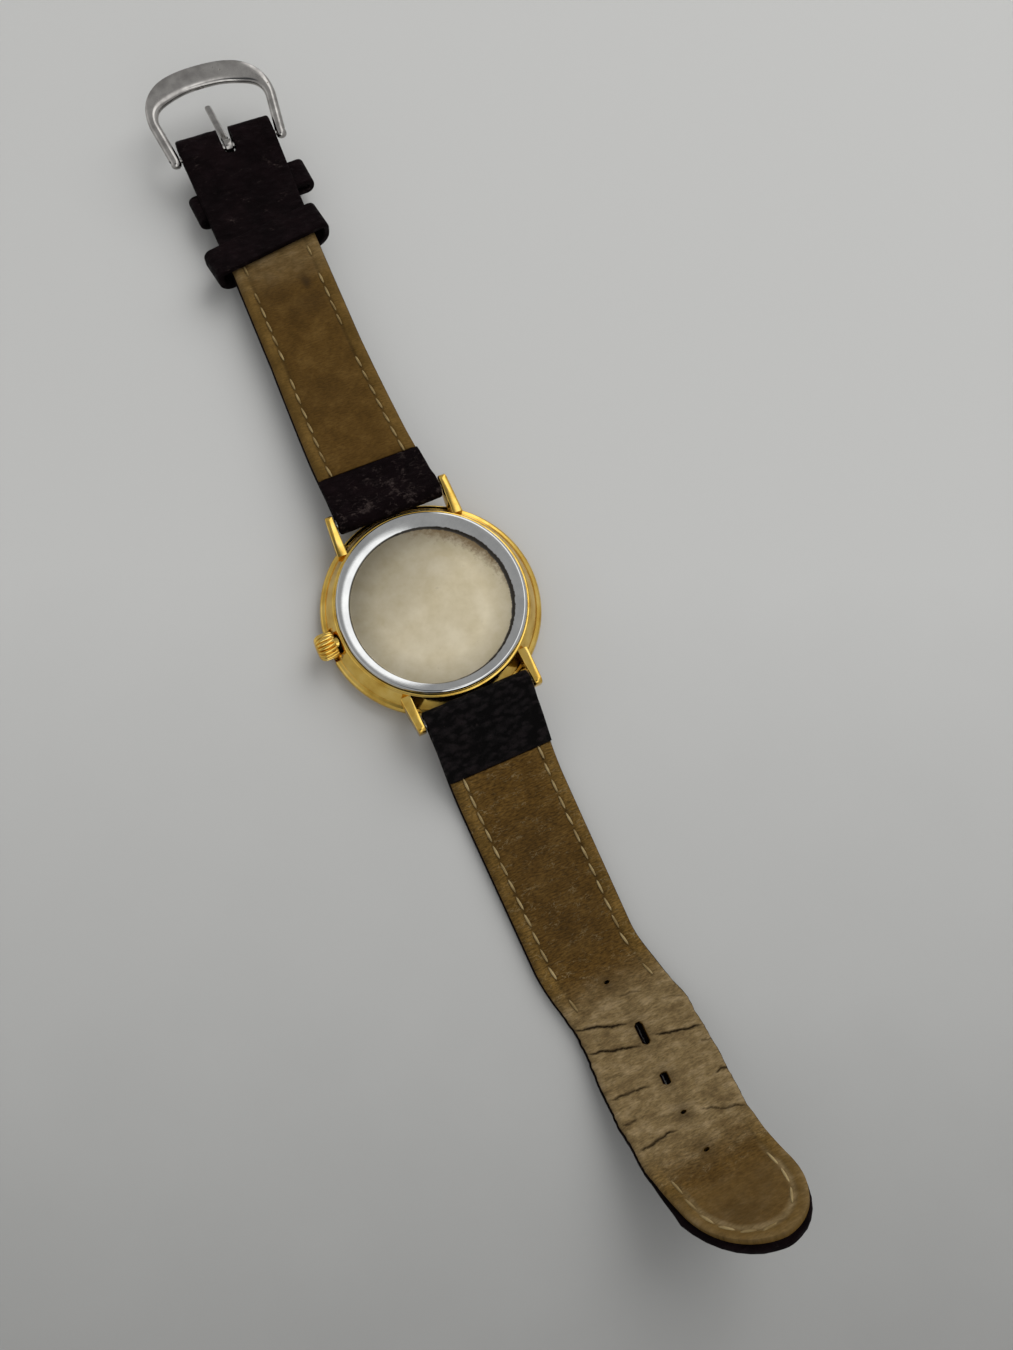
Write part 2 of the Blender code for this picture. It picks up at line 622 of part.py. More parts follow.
def fluted_barrel(x0, x1):
    """The crown: rounded flutes on a barrel that is drawn in at both ends."""
    bm = bmesh.new()
    rings = []
    for share, size in ((0.0, 0.80), (0.12, 0.93), (0.4, 1.0), (0.75, 1.0), (0.92, 0.95), (1.0, 0.86)):
        ring = []
        for i in range(CROWN_FLUTES * 3):
            angle = 2 * math.pi * i / (CROWN_FLUTES * 3)
            wave = (1 - math.cos(CROWN_FLUTES * angle)) / 2
            radius = size * CROWN_R - CROWN_FLUTE_DEPTH * wave
            place = (x0 + share * (x1 - x0), radius * math.cos(angle), Z_STEM + radius * math.sin(angle))
            ring.append(bm.verts.new(place))
        rings.append(ring)
    return skin(bm, rings)


def skin(bm, rings, closed=False):
    """Bridges rings of points and closes the ends."""
    pairs = list(zip(rings, rings[1:]))
    if closed:
        pairs.append((rings[-1], rings[0]))
    for ring, following in pairs:
        for i in range(len(ring)):
            j = (i + 1) % len(ring)
            bm.faces.new((ring[i], ring[j], following[j], following[i]))
    if not closed:
        bm.faces.new(rings[0])
        bm.faces.new(rings[-1])
    return bm


def stem_shape(outer_end):
    """Round stem with a square at the clutch and a thin pilot at its inner end."""
    square = STEM_R * math.sqrt(0.5)
    square_from = CLUTCH_X - CROWN_PULL - 2 * FIT
    bm = bmesh.new()
    rings = []
    sides = 4 * (SMALL_TURNS // 4)
    for x, size, is_square in (
        (outer_end, STEM_R, False), (square_from, STEM_R, False),
        (square_from, square, True), (STEM_END_X - CLUTCH_L / 2, square, True),
        (STEM_END_X - CLUTCH_L / 2, square / 2, False), (STEM_END_X, square / 2, False),
    ):
        ring = []
        for i in range(sides):
            angle = 2 * math.pi * (i + 0.5) / sides
            stretch = max(abs(math.cos(angle)), abs(math.sin(angle))) if is_square else 1.0
            across = size * math.cos(angle) / stretch
            up = size * math.sin(angle) / stretch
            ring.append(bm.verts.new((x, across, Z_STEM + up)))
        rings.append(ring)
    return skin(bm, rings)


# Dial and hands
def dial_direction(turn):
    """Unit vector of a share of a turn past twelve, clockwise from the front."""
    return Vector((-math.sin(2 * math.pi * turn), math.cos(2 * math.pi * turn)))


def bar_along(direction, start, end, start_w, end_w):
    """Outline of a straight bar with a taper."""
    side = Vector((-direction.y, direction.x))
    corners = [
        direction * start - side * start_w / 2,
        direction * end - side * end_w / 2,
        direction * end + side * end_w / 2,
        direction * start + side * start_w / 2,
    ]
    return [(p.x, p.y) for p in corners]


def make_dial(looks):
    dial_r = CASE_BORE - 2 * FIT
    dial = add_object("dial", turned(ring_profile(PIPE_R + 2 * FIT, dial_r, Z_DIAL_FACE, Z_DIAL_BACK)),
                      looks["dial"])
    outer = OPENING_R - MARKER_EDGE
    for hour in range(12):
        outline = bar_along(dial_direction(hour / 12), outer - MARKER_L, outer, MARKER_W, MARKER_W)
        baton = prism(outline, Z_DIAL_FACE - MARKER_T, Z_DIAL_FACE + FIT)
        combine(dial, "UNION", add_object(f"hour_marker_{hour}", baton, looks["gold"]))


def make_hand(looks, name, length, turn, hub_r, level):
    """A tapered hand on a round hub."""
    direction = dial_direction(turn)
    hub = ring_profile(hub_r + FIT, hub_r + HAND_W, level, level + HAND_T)
    hand = add_object(name, turned(hub, 24), looks["gold"])
    reach = hub_r + HAND_W / 2
    blade = prism(bar_along(direction, reach, length, HAND_W, HAND_W / 3), level, level + HAND_T)
    tail = prism(bar_along(direction, -HAND_TAIL, -reach, HAND_W, HAND_W), level, level + HAND_T)
    combine(hand, "UNION", add_object(f"{name}_blade", blade, looks["gold"]),
            add_object(f"{name}_tail", tail, looks["gold"]))
    return hand


# Motion works, under the dial
def make_motion_works(looks):
    cannon_module = 2 * MOTION_DISTANCE / (CANNON_TEETH + MINUTE_TEETH)
    hour_module = 2 * MOTION_DISTANCE / (MINUTE_PINION_TEETH + HOUR_TEETH)
    z_hour = Z_DIAL_BACK + 2 * FIT
    z_minute = z_hour + MOTION_STEP
    minute_phase = meshing_phase(CANNON_TEETH, 0.0, MINUTE_ANGLE, MINUTE_TEETH)
    hour_phase = meshing_phase(MINUTE_PINION_TEETH, 0.0, MINUTE_ANGLE + math.pi, HOUR_TEETH)
    cannon = wheel("cannon_pinion", looks["steel"], (0, 0, 0), [
        (gear_outline(CANNON_TEETH, cannon_module), z_minute - PINION_EXTRA,
         z_minute + WHEEL_T + PINION_EXTRA),
        (circle(CANNON_R), Z_MINUTE_HAND - FIT, z_minute + WHEEL_T),
    ])
    bore = prism(circle(CENTRE_R + FIT), Z_CRYSTAL_INNER, Z_PLATE_FRONT)
    combine(cannon, "DIFFERENCE", add_object("cannon_bore", bore, looks["steel"]))
    hour = wheel("hour_wheel", looks["brass"], (0, 0, 0), [
        (gear_outline(HOUR_TEETH, hour_module, hour_phase), z_hour, z_hour + WHEEL_T),
        (circle(PIPE_R), Z_HOUR_HAND - FIT, z_hour + WHEEL_T / 2),
    ])
    bore = prism(circle(CANNON_R + FIT), Z_CRYSTAL_INNER, Z_PLATE_FRONT)
    combine(hour, "DIFFERENCE", add_object("hour_bore", bore, looks["steel"]))
    minute = wheel("minute_wheel", looks["brass"], (*MINUTE_AT, 0), [
        (gear_outline(MINUTE_TEETH, cannon_module, minute_phase), z_minute, z_minute + WHEEL_T),
        (gear_outline(MINUTE_PINION_TEETH, hour_module), z_hour - PINION_EXTRA, z_minute + WHEEL_T / 2),
        (circle(PIVOT_R), z_minute, Z_PLATE_BACK - FIT),
    ])
    hang_on(axis_empty("minute_wheel_axis", Vector((*MINUTE_AT, Z_PLATE_FRONT))), minute)
    return cannon, hour


# Going train, between main plate and bridge
def train_level(step):
    return Z_PLATE_BACK + 2 * FIT + step * TRAIN_STEP


def arbor_layer():
    return (circle(PIVOT_R, 12), Z_PLATE_FRONT + PLATE_T / 3, Z_BRIDGE_BACK - FIT)


def pinion_layer(teeth, module, phase, step):
    low = train_level(step)
    return (gear_outline(teeth, module, phase), low - PINION_EXTRA, low + WHEEL_T + PINION_EXTRA)


def make_going_train(looks):
    centre_module = 2 * TRAIN_DISTANCE / (CENTRE_TEETH + THIRD_PINION_TEETH)
    third_module = 2 * TRAIN_DISTANCE / (THIRD_TEETH + IDLER_PINION_TEETH)
    idler_module = 2 * TRAIN_DISTANCE / (IDLER_TEETH + ROTOR_PINION_TEETH)
    third_pinion_phase = meshing_phase(CENTRE_TEETH, 0.0, THIRD_ANGLE, THIRD_PINION_TEETH)
    idler_pinion_phase = meshing_phase(THIRD_TEETH, 0.0, IDLER_ANGLE, IDLER_PINION_TEETH)
    rotor_phase = meshing_phase(IDLER_TEETH, 0.0, ROTOR_ANGLE, ROTOR_PINION_TEETH)
    centre = wheel("centre_wheel", looks["brass"], (0, 0, 0), [
        (gear_outline(CENTRE_TEETH, centre_module), train_level(0), train_level(0) + WHEEL_T),
        (circle(CENTRE_R), Z_MINUTE_HAND, train_level(0) + WHEEL_T / 2),
        (circle(PIVOT_R, 12), train_level(0), Z_BRIDGE_BACK - FIT),
    ])
    third = wheel("third_wheel", looks["brass"], (*THIRD_AT, 0), [
        (gear_outline(THIRD_TEETH, third_module), train_level(1), train_level(1) + WHEEL_T),
        pinion_layer(THIRD_PINION_TEETH, centre_module, third_pinion_phase, 0),
        (circle(CENTRE_R), train_level(0), train_level(1) + WHEEL_T / 2),
        arbor_layer(),
    ])
    idler = wheel("intermediate_wheel", looks["brass"], (*IDLER_AT, 0), [
        (gear_outline(IDLER_TEETH, idler_module), train_level(2), train_level(2) + WHEEL_T),
        pinion_layer(IDLER_PINION_TEETH, third_module, idler_pinion_phase, 1),
        (circle(CENTRE_R), train_level(1), train_level(2) + WHEEL_T / 2),
        arbor_layer(),
    ])
    rotor = wheel("rotor", looks["steel"], (*ROTOR_AT, 0), [
        (circle(ROTOR_R), Z_PLATE_BACK + 2 * FIT, Z_PLATE_BACK + 2 * FIT + 2 * STATOR_T),
        pinion_layer(ROTOR_PINION_TEETH, idler_module, rotor_phase, 2),
        (circle(PIVOT_R, 12), Z_PLATE_FRONT + PLATE_T / 3, Z_BRIDGE_BACK - FIT),
    ])
    for piece, place in ((third, THIRD_AT), (idler, IDLER_AT), (rotor, ROTOR_AT)):
        hang_on(axis_empty(f"{piece.name}_axis", Vector((*place, Z_PLATE_BACK))), piece)
    return centre


# Fixed pieces of the movement
def make_plate(looks):
    plate = add_object("main_plate", turned(disc_profile(MOVEMENT_R, Z_PLATE_FRONT, Z_PLATE_BACK)),
                       looks["brass"])
    for index, place in enumerate(pillar_places()):
        post = prism(circle(PILLAR_R, centre=place), Z_PLATE_BACK - FIT, Z_BRIDGE_FRONT - FIT)
        hole = prism(circle(SCREW_R + FIT, 12, place), Z_BRIDGE_BACK - SCREW_DEPTH, Z_BACK_INNER)
        combine(plate, "UNION", add_object(f"pillar_{index}", post, looks["brass"]))
        combine(plate, "DIFFERENCE", add_object(f"pillar_hole_{index}", hole, looks["brass"]))
    low = Z_PLATE_FRONT - FIT
    high = Z_PLATE_BACK + FIT
    openings = {
        "centre_hole": prism(circle(CENTRE_R + FIT), low, high),
        "cell_well": prism(circle(CELL_CAP_R + FIT, 40, (CELL_X, CELL_Y)), low, high),
        "coil_slot": block(COIL_X - COIL_L / 2 - FIT, COIL_X + COIL_L / 2 + FIT,
                           COIL_Y - COIL_R - FIT, COIL_Y + COIL_R + FIT, low, high),
        "can_slot": block(CAN_X - CAN_L / 2 - FIT, CAN_X + CAN_L / 2 + FIT,
                          CAN_Y - CAN_R - FIT, CAN_Y + CAN_R + FIT, low, high),
        "stem_slot": block(-MOVEMENT_R - FIT, STEM_END_X + FIT, -STEM_R - FIT, STEM_R + FIT, low, high),
        "clutch_slot": block(CLUTCH_X - FIT, CLUTCH_X + CLUTCH_L + FIT,
                             -CLUTCH_R - FIT, CLUTCH_R + FIT, low, high),
    }
    for index, place in enumerate((MINUTE_AT, THIRD_AT, IDLER_AT, ROTOR_AT)):
        openings[f"pivot_hole_{index}"] = prism(circle(PIVOT_R + FIT, 12, place), low, high)
    for name, shape in openings.items():
        combine(plate, "DIFFERENCE", add_object(name, shape, looks["brass"]))


def pillar_places():
    clamp_post = (CELL_X, CELL_Y + CELL_R + PILLAR_R + 4 * FIT)
    return [*PILLARS, clamp_post]


def make_ring(looks):
    ring = ring_profile(RING_INNER, RING_OUTER, Z_DIAL_BACK + FIT, Z_SKIRT_FLOOR)
    ring = add_object("movement_ring", turned(ring), looks["plastic"])
    gap = block(-RING_OUTER - FIT, -RING_INNER + RING_WALL, -STEM_R - 2 * FIT, STEM_R + 2 * FIT,
                Z_STEM - STEM_R - 2 * FIT, Z_BACK_INNER)
    combine(ring, "DIFFERENCE", add_object("ring_gap", gap, looks["plastic"]))


def make_bridge(looks):
    margin = PILLAR_R + 2 * FIT
    corners = [
        (PILLARS[0][0] - margin, PILLARS[0][1] - margin),
        (PILLARS[2][0] - margin, PILLARS[2][1] - margin),
        (PILLARS[2][0] + margin, PILLARS[2][1] - margin),
        (PILLARS[1][0] + margin, PILLARS[1][1] - margin),
        (PILLARS[1][0] + margin, PILLARS[1][1] + margin),
        (IDLER_AT.x, IDLER_AT.y + margin),
        (ROTOR_AT.x, ROTOR_AT.y + margin),
        (PILLARS[0][0] - margin, PILLARS[0][1] + margin),
    ]
    bridge = add_object("train_bridge", prism(corners, Z_BRIDGE_FRONT, Z_BRIDGE_BACK), looks["brass"])
    low = Z_BRIDGE_FRONT - FIT
    high = Z_BRIDGE_BACK + FIT
    holes = [(place, PIVOT_R) for place in ((0, 0), THIRD_AT, IDLER_AT, ROTOR_AT)]
    holes += [(place, SCREW_R) for place in PILLARS]
    for index, (place, radius) in enumerate(holes):
        hole = prism(circle(radius + FIT, 12, place), low, high)
        combine(bridge, "DIFFERENCE", add_object(f"bridge_hole_{index}", hole, looks["brass"]))
    for index, place in enumerate(PILLARS):
        make_screw(looks, f"bridge_screw_{index + 1}", place, Z_BRIDGE_BACK + FIT)


def make_screw(looks, name, place, seat):
    shank = prism(circle(SCREW_R, 12, place), Z_BRIDGE_BACK - SCREW_DEPTH + FIT, seat + FIT)
    head = prism(circle(SCREW_HEAD_R, 12, place), seat, seat + SCREW_HEAD_T)
    screw = add_object(name, head, looks["steel"])
    combine(screw, "UNION", add_object(f"{name}_shank", shank, looks["steel"]))


def make_motor(looks):
    low = Z_PLATE_BACK + FIT / 2
    ends = (COIL_X - COIL_L / 2, COIL_X + COIL_L / 2)
    rim = ROTOR_R + ROTOR_GAP + STATOR_RIM
    pad_low = COIL_Y - CORE_W
    pad_high = COIL_Y + CORE_W / 2
    outline = [
        (ends[0] - CORE_PAD, pad_high),
        (ends[0] - CORE_PAD, pad_low),
        (ROTOR_AT.x - rim, ROTOR_AT.y - rim),
        (ROTOR_AT.x + rim, ROTOR_AT.y - rim),
        (ROTOR_AT.x + rim, ROTOR_AT.y + rim / 2),
        (ends[1] + CORE_PAD, pad_low),
        (ends[1] + CORE_PAD, pad_high),
        (ends[1] + 2 * FIT, pad_high),
        (ends[1] + 2 * FIT, pad_low + CORE_W / 4),
        (ROTOR_AT.x + rim, ROTOR_AT.y + rim),
        (ROTOR_AT.x - rim, ROTOR_AT.y + rim),
        (ends[0] - 2 * FIT, pad_low + CORE_W / 4),
        (ends[0] - 2 * FIT, pad_high),
    ]
    stator = add_object("stator", prism(outline, low, low + STATOR_T), looks["steel"])
    hole = prism(circle(ROTOR_R + ROTOR_GAP, centre=ROTOR_AT), low - FIT, low + STATOR_T + FIT)
    combine(stator, "DIFFERENCE", add_object("rotor_hole", hole, looks["steel"]))
    core_low = low + STATOR_T + FIT
    coil = add_object("drive_coil", rod_x(COIL_R, *ends, COIL_Y, core_low + CORE_T / 2), looks["copper"])
    core = block(ends[0] - CORE_PAD, ends[1] + CORE_PAD, COIL_Y - CORE_W / 2, COIL_Y + CORE_W / 2,
                 core_low, core_low + CORE_T)
    combine(coil, "UNION", add_object("coil_core", core, looks["steel"]))


def make_power(looks):
    place = (CELL_X, CELL_Y)
    shoulder = Z_PLATE_BACK + FIT
    cell = [
        (0, Z_CLAMP - FIT),
        (CELL_R, Z_CLAMP - FIT),
        (CELL_R, shoulder),
        (CELL_CAP_R, shoulder),
        (CELL_CAP_R, shoulder - CELL_CAP_H),
        (0, shoulder - CELL_CAP_H),
    ]
    add_object("button_cell", shift(turned(cell, 40), *place), looks["steel"])
    post = pillar_places()[-1]
    clamp = rectangle(CELL_X - CLAMP_W / 2, CELL_X + CLAMP_W / 2, CELL_Y - CLAMP_REACH, post[1] + PILLAR_R)
    clamp = add_object("cell_clamp", prism(clamp, Z_CLAMP, Z_CLAMP + CLAMP_T), looks["steel"])
    hole = prism(circle(SCREW_R + FIT, 12, post), Z_CLAMP - FIT, Z_CLAMP + CLAMP_T + FIT)
    combine(clamp, "DIFFERENCE", add_object("clamp_hole", hole, looks["steel"]))
    make_screw(looks, "clamp_screw", post, Z_CLAMP + CLAMP_T + FIT)


def make_circuit(looks):
    low = Z_PLATE_BACK + FIT
    inner = STEM_R + CLUTCH_R
    edge = MOVEMENT_R - RING_WALL
    right = CELL_X - CELL_R - CLAMP_W
    sweep = [math.radians(a) for a in range(190, 261, 10)]
    outline = [(right, -inner - CAN_L / 4), (right - inner, -inner)]
    outline += [(edge * math.cos(a), edge * math.sin(a)) for a in sweep]
    outline.append((right, edge * math.sin(sweep[-1])))
    board = add_object("circuit_board", prism(outline, low, low + BOARD_T), looks["board"])
    slot = block(CAN_X - CAN_L / 2 - FIT, CAN_X + CAN_L / 2 + FIT, CAN_Y - CAN_R - FIT, CAN_Y + CAN_R + FIT,
                 low - FIT, low + BOARD_T + FIT)
    combine(board, "DIFFERENCE", add_object("board_slot", slot, looks["board"]))
    can = rod_x(CAN_R, CAN_X - CAN_L / 2, CAN_X + CAN_L / 2, CAN_Y, low + CAN_RISE)
    add_object("quartz_crystal_can", can, looks["steel"])
    chip_low = low + BOARD_T + FIT / 2
    chip_at = (CAN_X + CAN_L / 4, CAN_Y + CAN_R + 2 * CHIP_R)
    chip = prism(circle(CHIP_R, centre=chip_at), chip_low, chip_low + CHIP_H)
    add_object("driver_chip", chip, looks["resin"])


# Strap lines: the plane between leather and lining, by distance from the spring bar
def ease(start, end, share):
    """A smooth step from one value to another."""
    t = min(max(share, 0.0), 1.0)
    return start + (end - start) * t * t * (3 - 2 * t)


def short_line(u):
    z = ease(Z_BAR, Z_SHORT, u / LAY_DOWN)
    z += ease(0.0, BUCKLE_RISE, (u - SHORT_L + BUCKLE_RISE_L) / BUCKLE_RISE_L)
    return Vector((BAR_Y + u, z))


def long_line(u):
    if u <= LONG_FLAT_L:
        return Vector((-BAR_Y - u, ease(Z_BAR, Z_LONG, u / LONG_LAY_DOWN)))
    angle = (u - LONG_FLAT_L) / CURL_R
    y = -BAR_Y - LONG_FLAT_L - CURL_R * math.sin(angle)
    return Vector((y, Z_LONG + CURL_R * (1 - math.cos(angle))))


def frame_at(line, u):
    """Direction along a strap line and its normal towards the lining."""
    step = 0.05 * MM
    along = (line(u + step) - line(u - step)).normalized()
    normal = Vector((-along.y, along.x))
    if normal.y < 0:
        normal.negate()
    return along, normal


def offset(line, u, height):
    return line(u) + frame_at(line, u)[1] * height


def steps(start, end, pitch):
    count = max(1, math.ceil(abs(end - start) / pitch - 1e-6))
    return [start + (end - start) * i / count for i in range(count + 1)]


def fold_arc(centre, outward, normal, radius, from_leather):
    """Points round a bar, on the far side from the strap."""
    angles = steps(-FOLD_TURN, FOLD_TURN, math.radians(25))
    if not from_leather:
        angles = angles[::-1]
    return [centre + (outward * math.cos(a) + normal * math.sin(a)) * radius for a in angles]


def short_width(u):
    """Tapers to a waist and spreads again where the end is folded round the buckle bar."""
    width = LUG_STRAP_W + (SHORT_WAIST_W - LUG_STRAP_W) * min(u / SHORT_TAPER_L, 1.0)
    spread = (u - SHORT_L + BUCKLE_SPREAD_L) / BUCKLE_SPREAD_L
    return width + ease(0.0, BUCKLE_STRAP_W - SHORT_WAIST_W, spread)


def short_shift(u):
    back_over = (u - SWAY_L) / (SHORT_L - SWAY_L)
    return ease(0.0, SHORT_SWAY, u / SWAY_L) + ease(0.0, BUCKLE_X - SHORT_SWAY, back_over)


def long_width(u):
    """Tapers from the lug, spreads where the strap was buckled, and rounds off at the tip."""
    width = LUG_STRAP_W + (MID_STRAP_W - LUG_STRAP_W) * min(u / SHIFT_FROM, 1.0)
    width += ease(0.0, WORN_STRAP_W - MID_STRAP_W, (u - SHIFT_FROM) / (WORN_AT - SHIFT_FROM))
    width += ease(0.0, TAIL_STRAP_W - WORN_STRAP_W, (u - WORN_AT) / (TAIL_AT - WORN_AT))
    tip = (u - LONG_L + TIP_L) / TIP_L
    if tip > 0:
        width *= math.sqrt(max(1 - tip * tip, 0.0))
    return width


def long_shift(u):
    shift_x = ease(0.0, LONG_SWAY, u / SWAY_L)
    shift_x += ease(0.0, SIDE_SHIFT, (u - SHIFT_FROM) / (SHIFT_TO - SHIFT_FROM))
    return shift_x + TIP_SHIFT * max((u - LONG_L) / TIP_SHIFT_L + 1, 0.0) ** 1.5


def ribbon(points, widths, shifts, thickness):
    """A band of leather: a side view of points, with a width and a sideways shift at each."""
    bm = bmesh.new()
    rings = []
    for i, point in enumerate(points):
        before = points[max(i - 1, 0)]
        after = points[min(i + 1, len(points) - 1)]
        along = (after - before).normalized()
        half = Vector((-along.y, along.x)) * thickness / 2
        low = point - half
        high = point + half
        left = shifts[i] - widths[i] / 2
        right = shifts[i] + widths[i] / 2
        corners = ((left, low), (right, low), (right, high), (left, high))
        rings.append([bm.verts.new((x, p.x, p.y)) for x, p in corners])
    return skin(bm, rings)


def make_short_strap(looks):
    half = (LAYER_GAP + LEATHER_T) / 2
    radius = BAR_R + LEATHER_FIT + LEATHER_T / 2
    buckle_radius = BUCKLE_BAR_R + LEATHER_FIT + LEATHER_T / 2
    route = [(offset(short_line, u, half), u) for u in steps(SHORT_FOLD, FOLD_RUN, 2 * MM)]
    along, normal = frame_at(short_line, 0.0)
    route += [(p, 0.0) for p in fold_arc(short_line(0.0), -along, normal, radius, False)]
    run = steps(FOLD_RUN, SHORT_L - FOLD_RUN, 3.2 * MM)
    route += [(offset(short_line, u, -half), u) for u in run]
    along, normal = frame_at(short_line, SHORT_L)
    bar = short_line(SHORT_L)
    loop = fold_arc(bar + along * BUCKLE_LOOP_SLACK, along, normal, buckle_radius, True)
    loop = [bar - normal * buckle_radius] + loop + [bar + normal * buckle_radius]
    route += [(p, SHORT_L) for p in loop]
    flap = steps(SHORT_L - FOLD_RUN, SHORT_L - BUCKLE_FOLD, 3 * MM)
    route += [(offset(short_line, u, half), u) for u in flap]
    points = [p for p, u in route]
    bm = ribbon(points, [short_width(u) for p, u in route], [short_shift(u) for p, u in route], LEATHER_T)
    outer = add_object("short_strap_outer", bm, looks["dark_leather"])
    slot = block(BUCKLE_X - SLOT_W / 2, BUCKLE_X + SLOT_W / 2, BUCKLE_Y - SLOT_BEHIND_BAR,
                 BUCKLE_Y + FOLD_RUN, Z_BUCKLE - FOLD_RUN, Z_BUCKLE + FOLD_RUN)
    combine(outer, "DIFFERENCE", add_object("tongue_slot", slot, looks["dark_leather"]))
    middle = (LAYER_GAP + LINING_T) / 2
    run = steps(SHORT_FOLD + END_GAP, SHORT_L - BUCKLE_FOLD - END_GAP, 3 * MM)
    points = [offset(short_line, u, middle) for u in run]
    bm = ribbon(points, [short_width(u) for u in run], [short_shift(u) for u in run], LINING_T)
    lining = add_object("short_strap_lining", bm, looks["lining"])
    return outer, lining


def make_long_strap(looks):
    half = (LAYER_GAP + LEATHER_T) / 2
    radius = BAR_R + LEATHER_FIT + LEATHER_T / 2
    end = LONG_L - TIP_L / 60
    tip = [LONG_L - TIP_L * (1 - share) for share in (0.3, 0.55, 0.75, 0.9)]
    run = steps(FOLD_RUN, LONG_FLAT_L, 3 * MM)[:-1]
    run += steps(LONG_FLAT_L, LONG_L - TIP_L, 2.5 * MM) + tip + [end]
    route = [(offset(long_line, u, half), u) for u in steps(LONG_FOLD, FOLD_RUN, 2 * MM)]
    along, normal = frame_at(long_line, 0.0)
    route += [(p, 0.0) for p in fold_arc(long_line(0.0), -along, normal, radius, False)]
    route += [(offset(long_line, u, -half), u) for u in run]
    points = [p for p, u in route]
    bm = ribbon(points, [long_width(u) for p, u in route], [long_shift(u) for p, u in route], LEATHER_T)
    outer = add_object("long_strap_outer", bm, looks["dark_leather"])
    middle = (LAYER_GAP + LINING_T) / 2
    run = [u for u in run if u > LONG_FOLD + 1 * MM]
    run = [LONG_FOLD + END_GAP] + run
    points = [offset(long_line, u, middle) for u in run]
    bm = ribbon(points, [long_width(u) for u in run], [long_shift(u) for u in run], LINING_T)
    lining = add_object("long_strap_lining", bm, looks["lining"])
    for index, (u, wear) in enumerate(HOLES):
        combine(outer, "DIFFERENCE", make_hole(looks, f"leather_hole_{index}", u, wear))
        combine(lining, "DIFFERENCE", make_hole(looks, f"lining_hole_{index}", u, wear))
    return outer, lining


def make_hole(looks, name, u, wear):
    """A punch square to the strap at a distance from the spring bar, drawn out by wear."""
    along, normal = frame_at(long_line, u)
    outline = [(x, y - wear if y < 0 else y) for x, y in circle(HOLE_R, 10)]
    bm = prism(outline, -STRAP_T, STRAP_T)
    turn = Matrix.Rotation(math.atan2(normal.y, normal.x) - math.pi / 2, 3, "X")
    bmesh.ops.rotate(bm, verts=bm.verts, cent=(0, 0, 0), matrix=turn)
    place = long_line(u)
    return add_object(name, shift(bm, long_shift(u), place.x, place.y), looks["lining"])


# Keepers
def keeper_path(centre, bottom, top, half_width, top_corner):
    """A keeper's middle line seen along the strap, as a rounded rectangle."""
    right = centre + half_width
    left = centre - half_width
    corners = (
        (right, bottom, KEEPER_CORNER, -90), (right, top, top_corner, 0),
        (left, top, top_corner, 90), (left, bottom, KEEPER_CORNER, 180),
    )
    points = []
    for x, z, radius, start in corners:
        middle_x = x - math.copysign(radius, x - centre)
        middle_z = z - math.copysign(radius, z - bottom - radius)
        for turn in range(0, 91, 30):
            angle = math.radians(start + turn)
            points.append(Vector((middle_x + radius * math.cos(angle), middle_z + radius * math.sin(angle))))
    return points


def band(points, y0, y1, thickness, closed):
    """A strip of leather bent along points seen along Y."""
    bm = bmesh.new()
    rings = []
    count = len(points)
    for i, point in enumerate(points):
        before = points[(i - 1) % count] if closed or i else point
        after = points[(i + 1) % count] if closed or i + 1 < count else point
        along = (after - before).normalized()
        half = Vector((-along.y, along.x)) * thickness / 2
        inner = point + half
        outer = point - half
        corners = ((inner, y0), (inner, y1), (outer, y1), (outer, y0))
        rings.append([bm.verts.new((p.x, y, p.y)) for p, y in corners])
    return skin(bm, rings, closed)


def make_keepers(looks):
    half_width = LUG_STRAP_W / 2 + KEEPER_SIDE + KEEPER_WALL / 2
    bottom = KEEPER_WALL / 2
    top = Z_SHORT + STRAP_HALF_LINING + KEEPER_LIFT + KEEPER_WALL / 2
    loop = keeper_path(0.0, bottom, top, half_width, KEEPER_TOP_CORNER)
    loose = band(loop, -KEEPER_L / 2, KEEPER_L / 2, KEEPER_WALL, True)
    free_x = short_shift(FREE_KEEPER_AT) + FREE_KEEPER_X
    place_keeper(loose, FREE_KEEPER_SKEW, free_x, BAR_Y + FREE_KEEPER_AT)
    free = add_object("free_keeper", loose, looks["dark_leather"])
    snug = short_width(FIXED_KEEPER_AT + KEEPER_L / 2) / 2 + 3 * LEATHER_FIT
    loop = keeper_path(0.0, bottom, Z_SHORT, half_width, SEWN_CORNER)
    left_end = Vector((-FIXED_KEEPER_X - snug, Z_SHORT))
    right_end = Vector((-FIXED_KEEPER_X + snug, Z_SHORT))
    strip = [left_end] + loop[8:] + loop[:8] + [right_end]
    sewn = band(strip, -KEEPER_L / 2, KEEPER_L / 2, KEEPER_WALL, False)
    fixed_x = short_shift(FIXED_KEEPER_AT) + FIXED_KEEPER_X
    place_keeper(sewn, FIXED_KEEPER_SKEW, fixed_x, BAR_Y + FIXED_KEEPER_AT)
    fixed = add_object("fixed_keeper", sewn, looks["dark_leather"])
    return free, fixed


def place_keeper(bm, skew, x, y):
    """Turns a keeper a little on the strap and moves it to its place."""
    turn = Matrix.Rotation(skew, 3, "Z")
    bmesh.ops.rotate(bm, verts=bm.verts, cent=(0, 0, 0), matrix=turn)
    shift(bm, x=x, y=y)


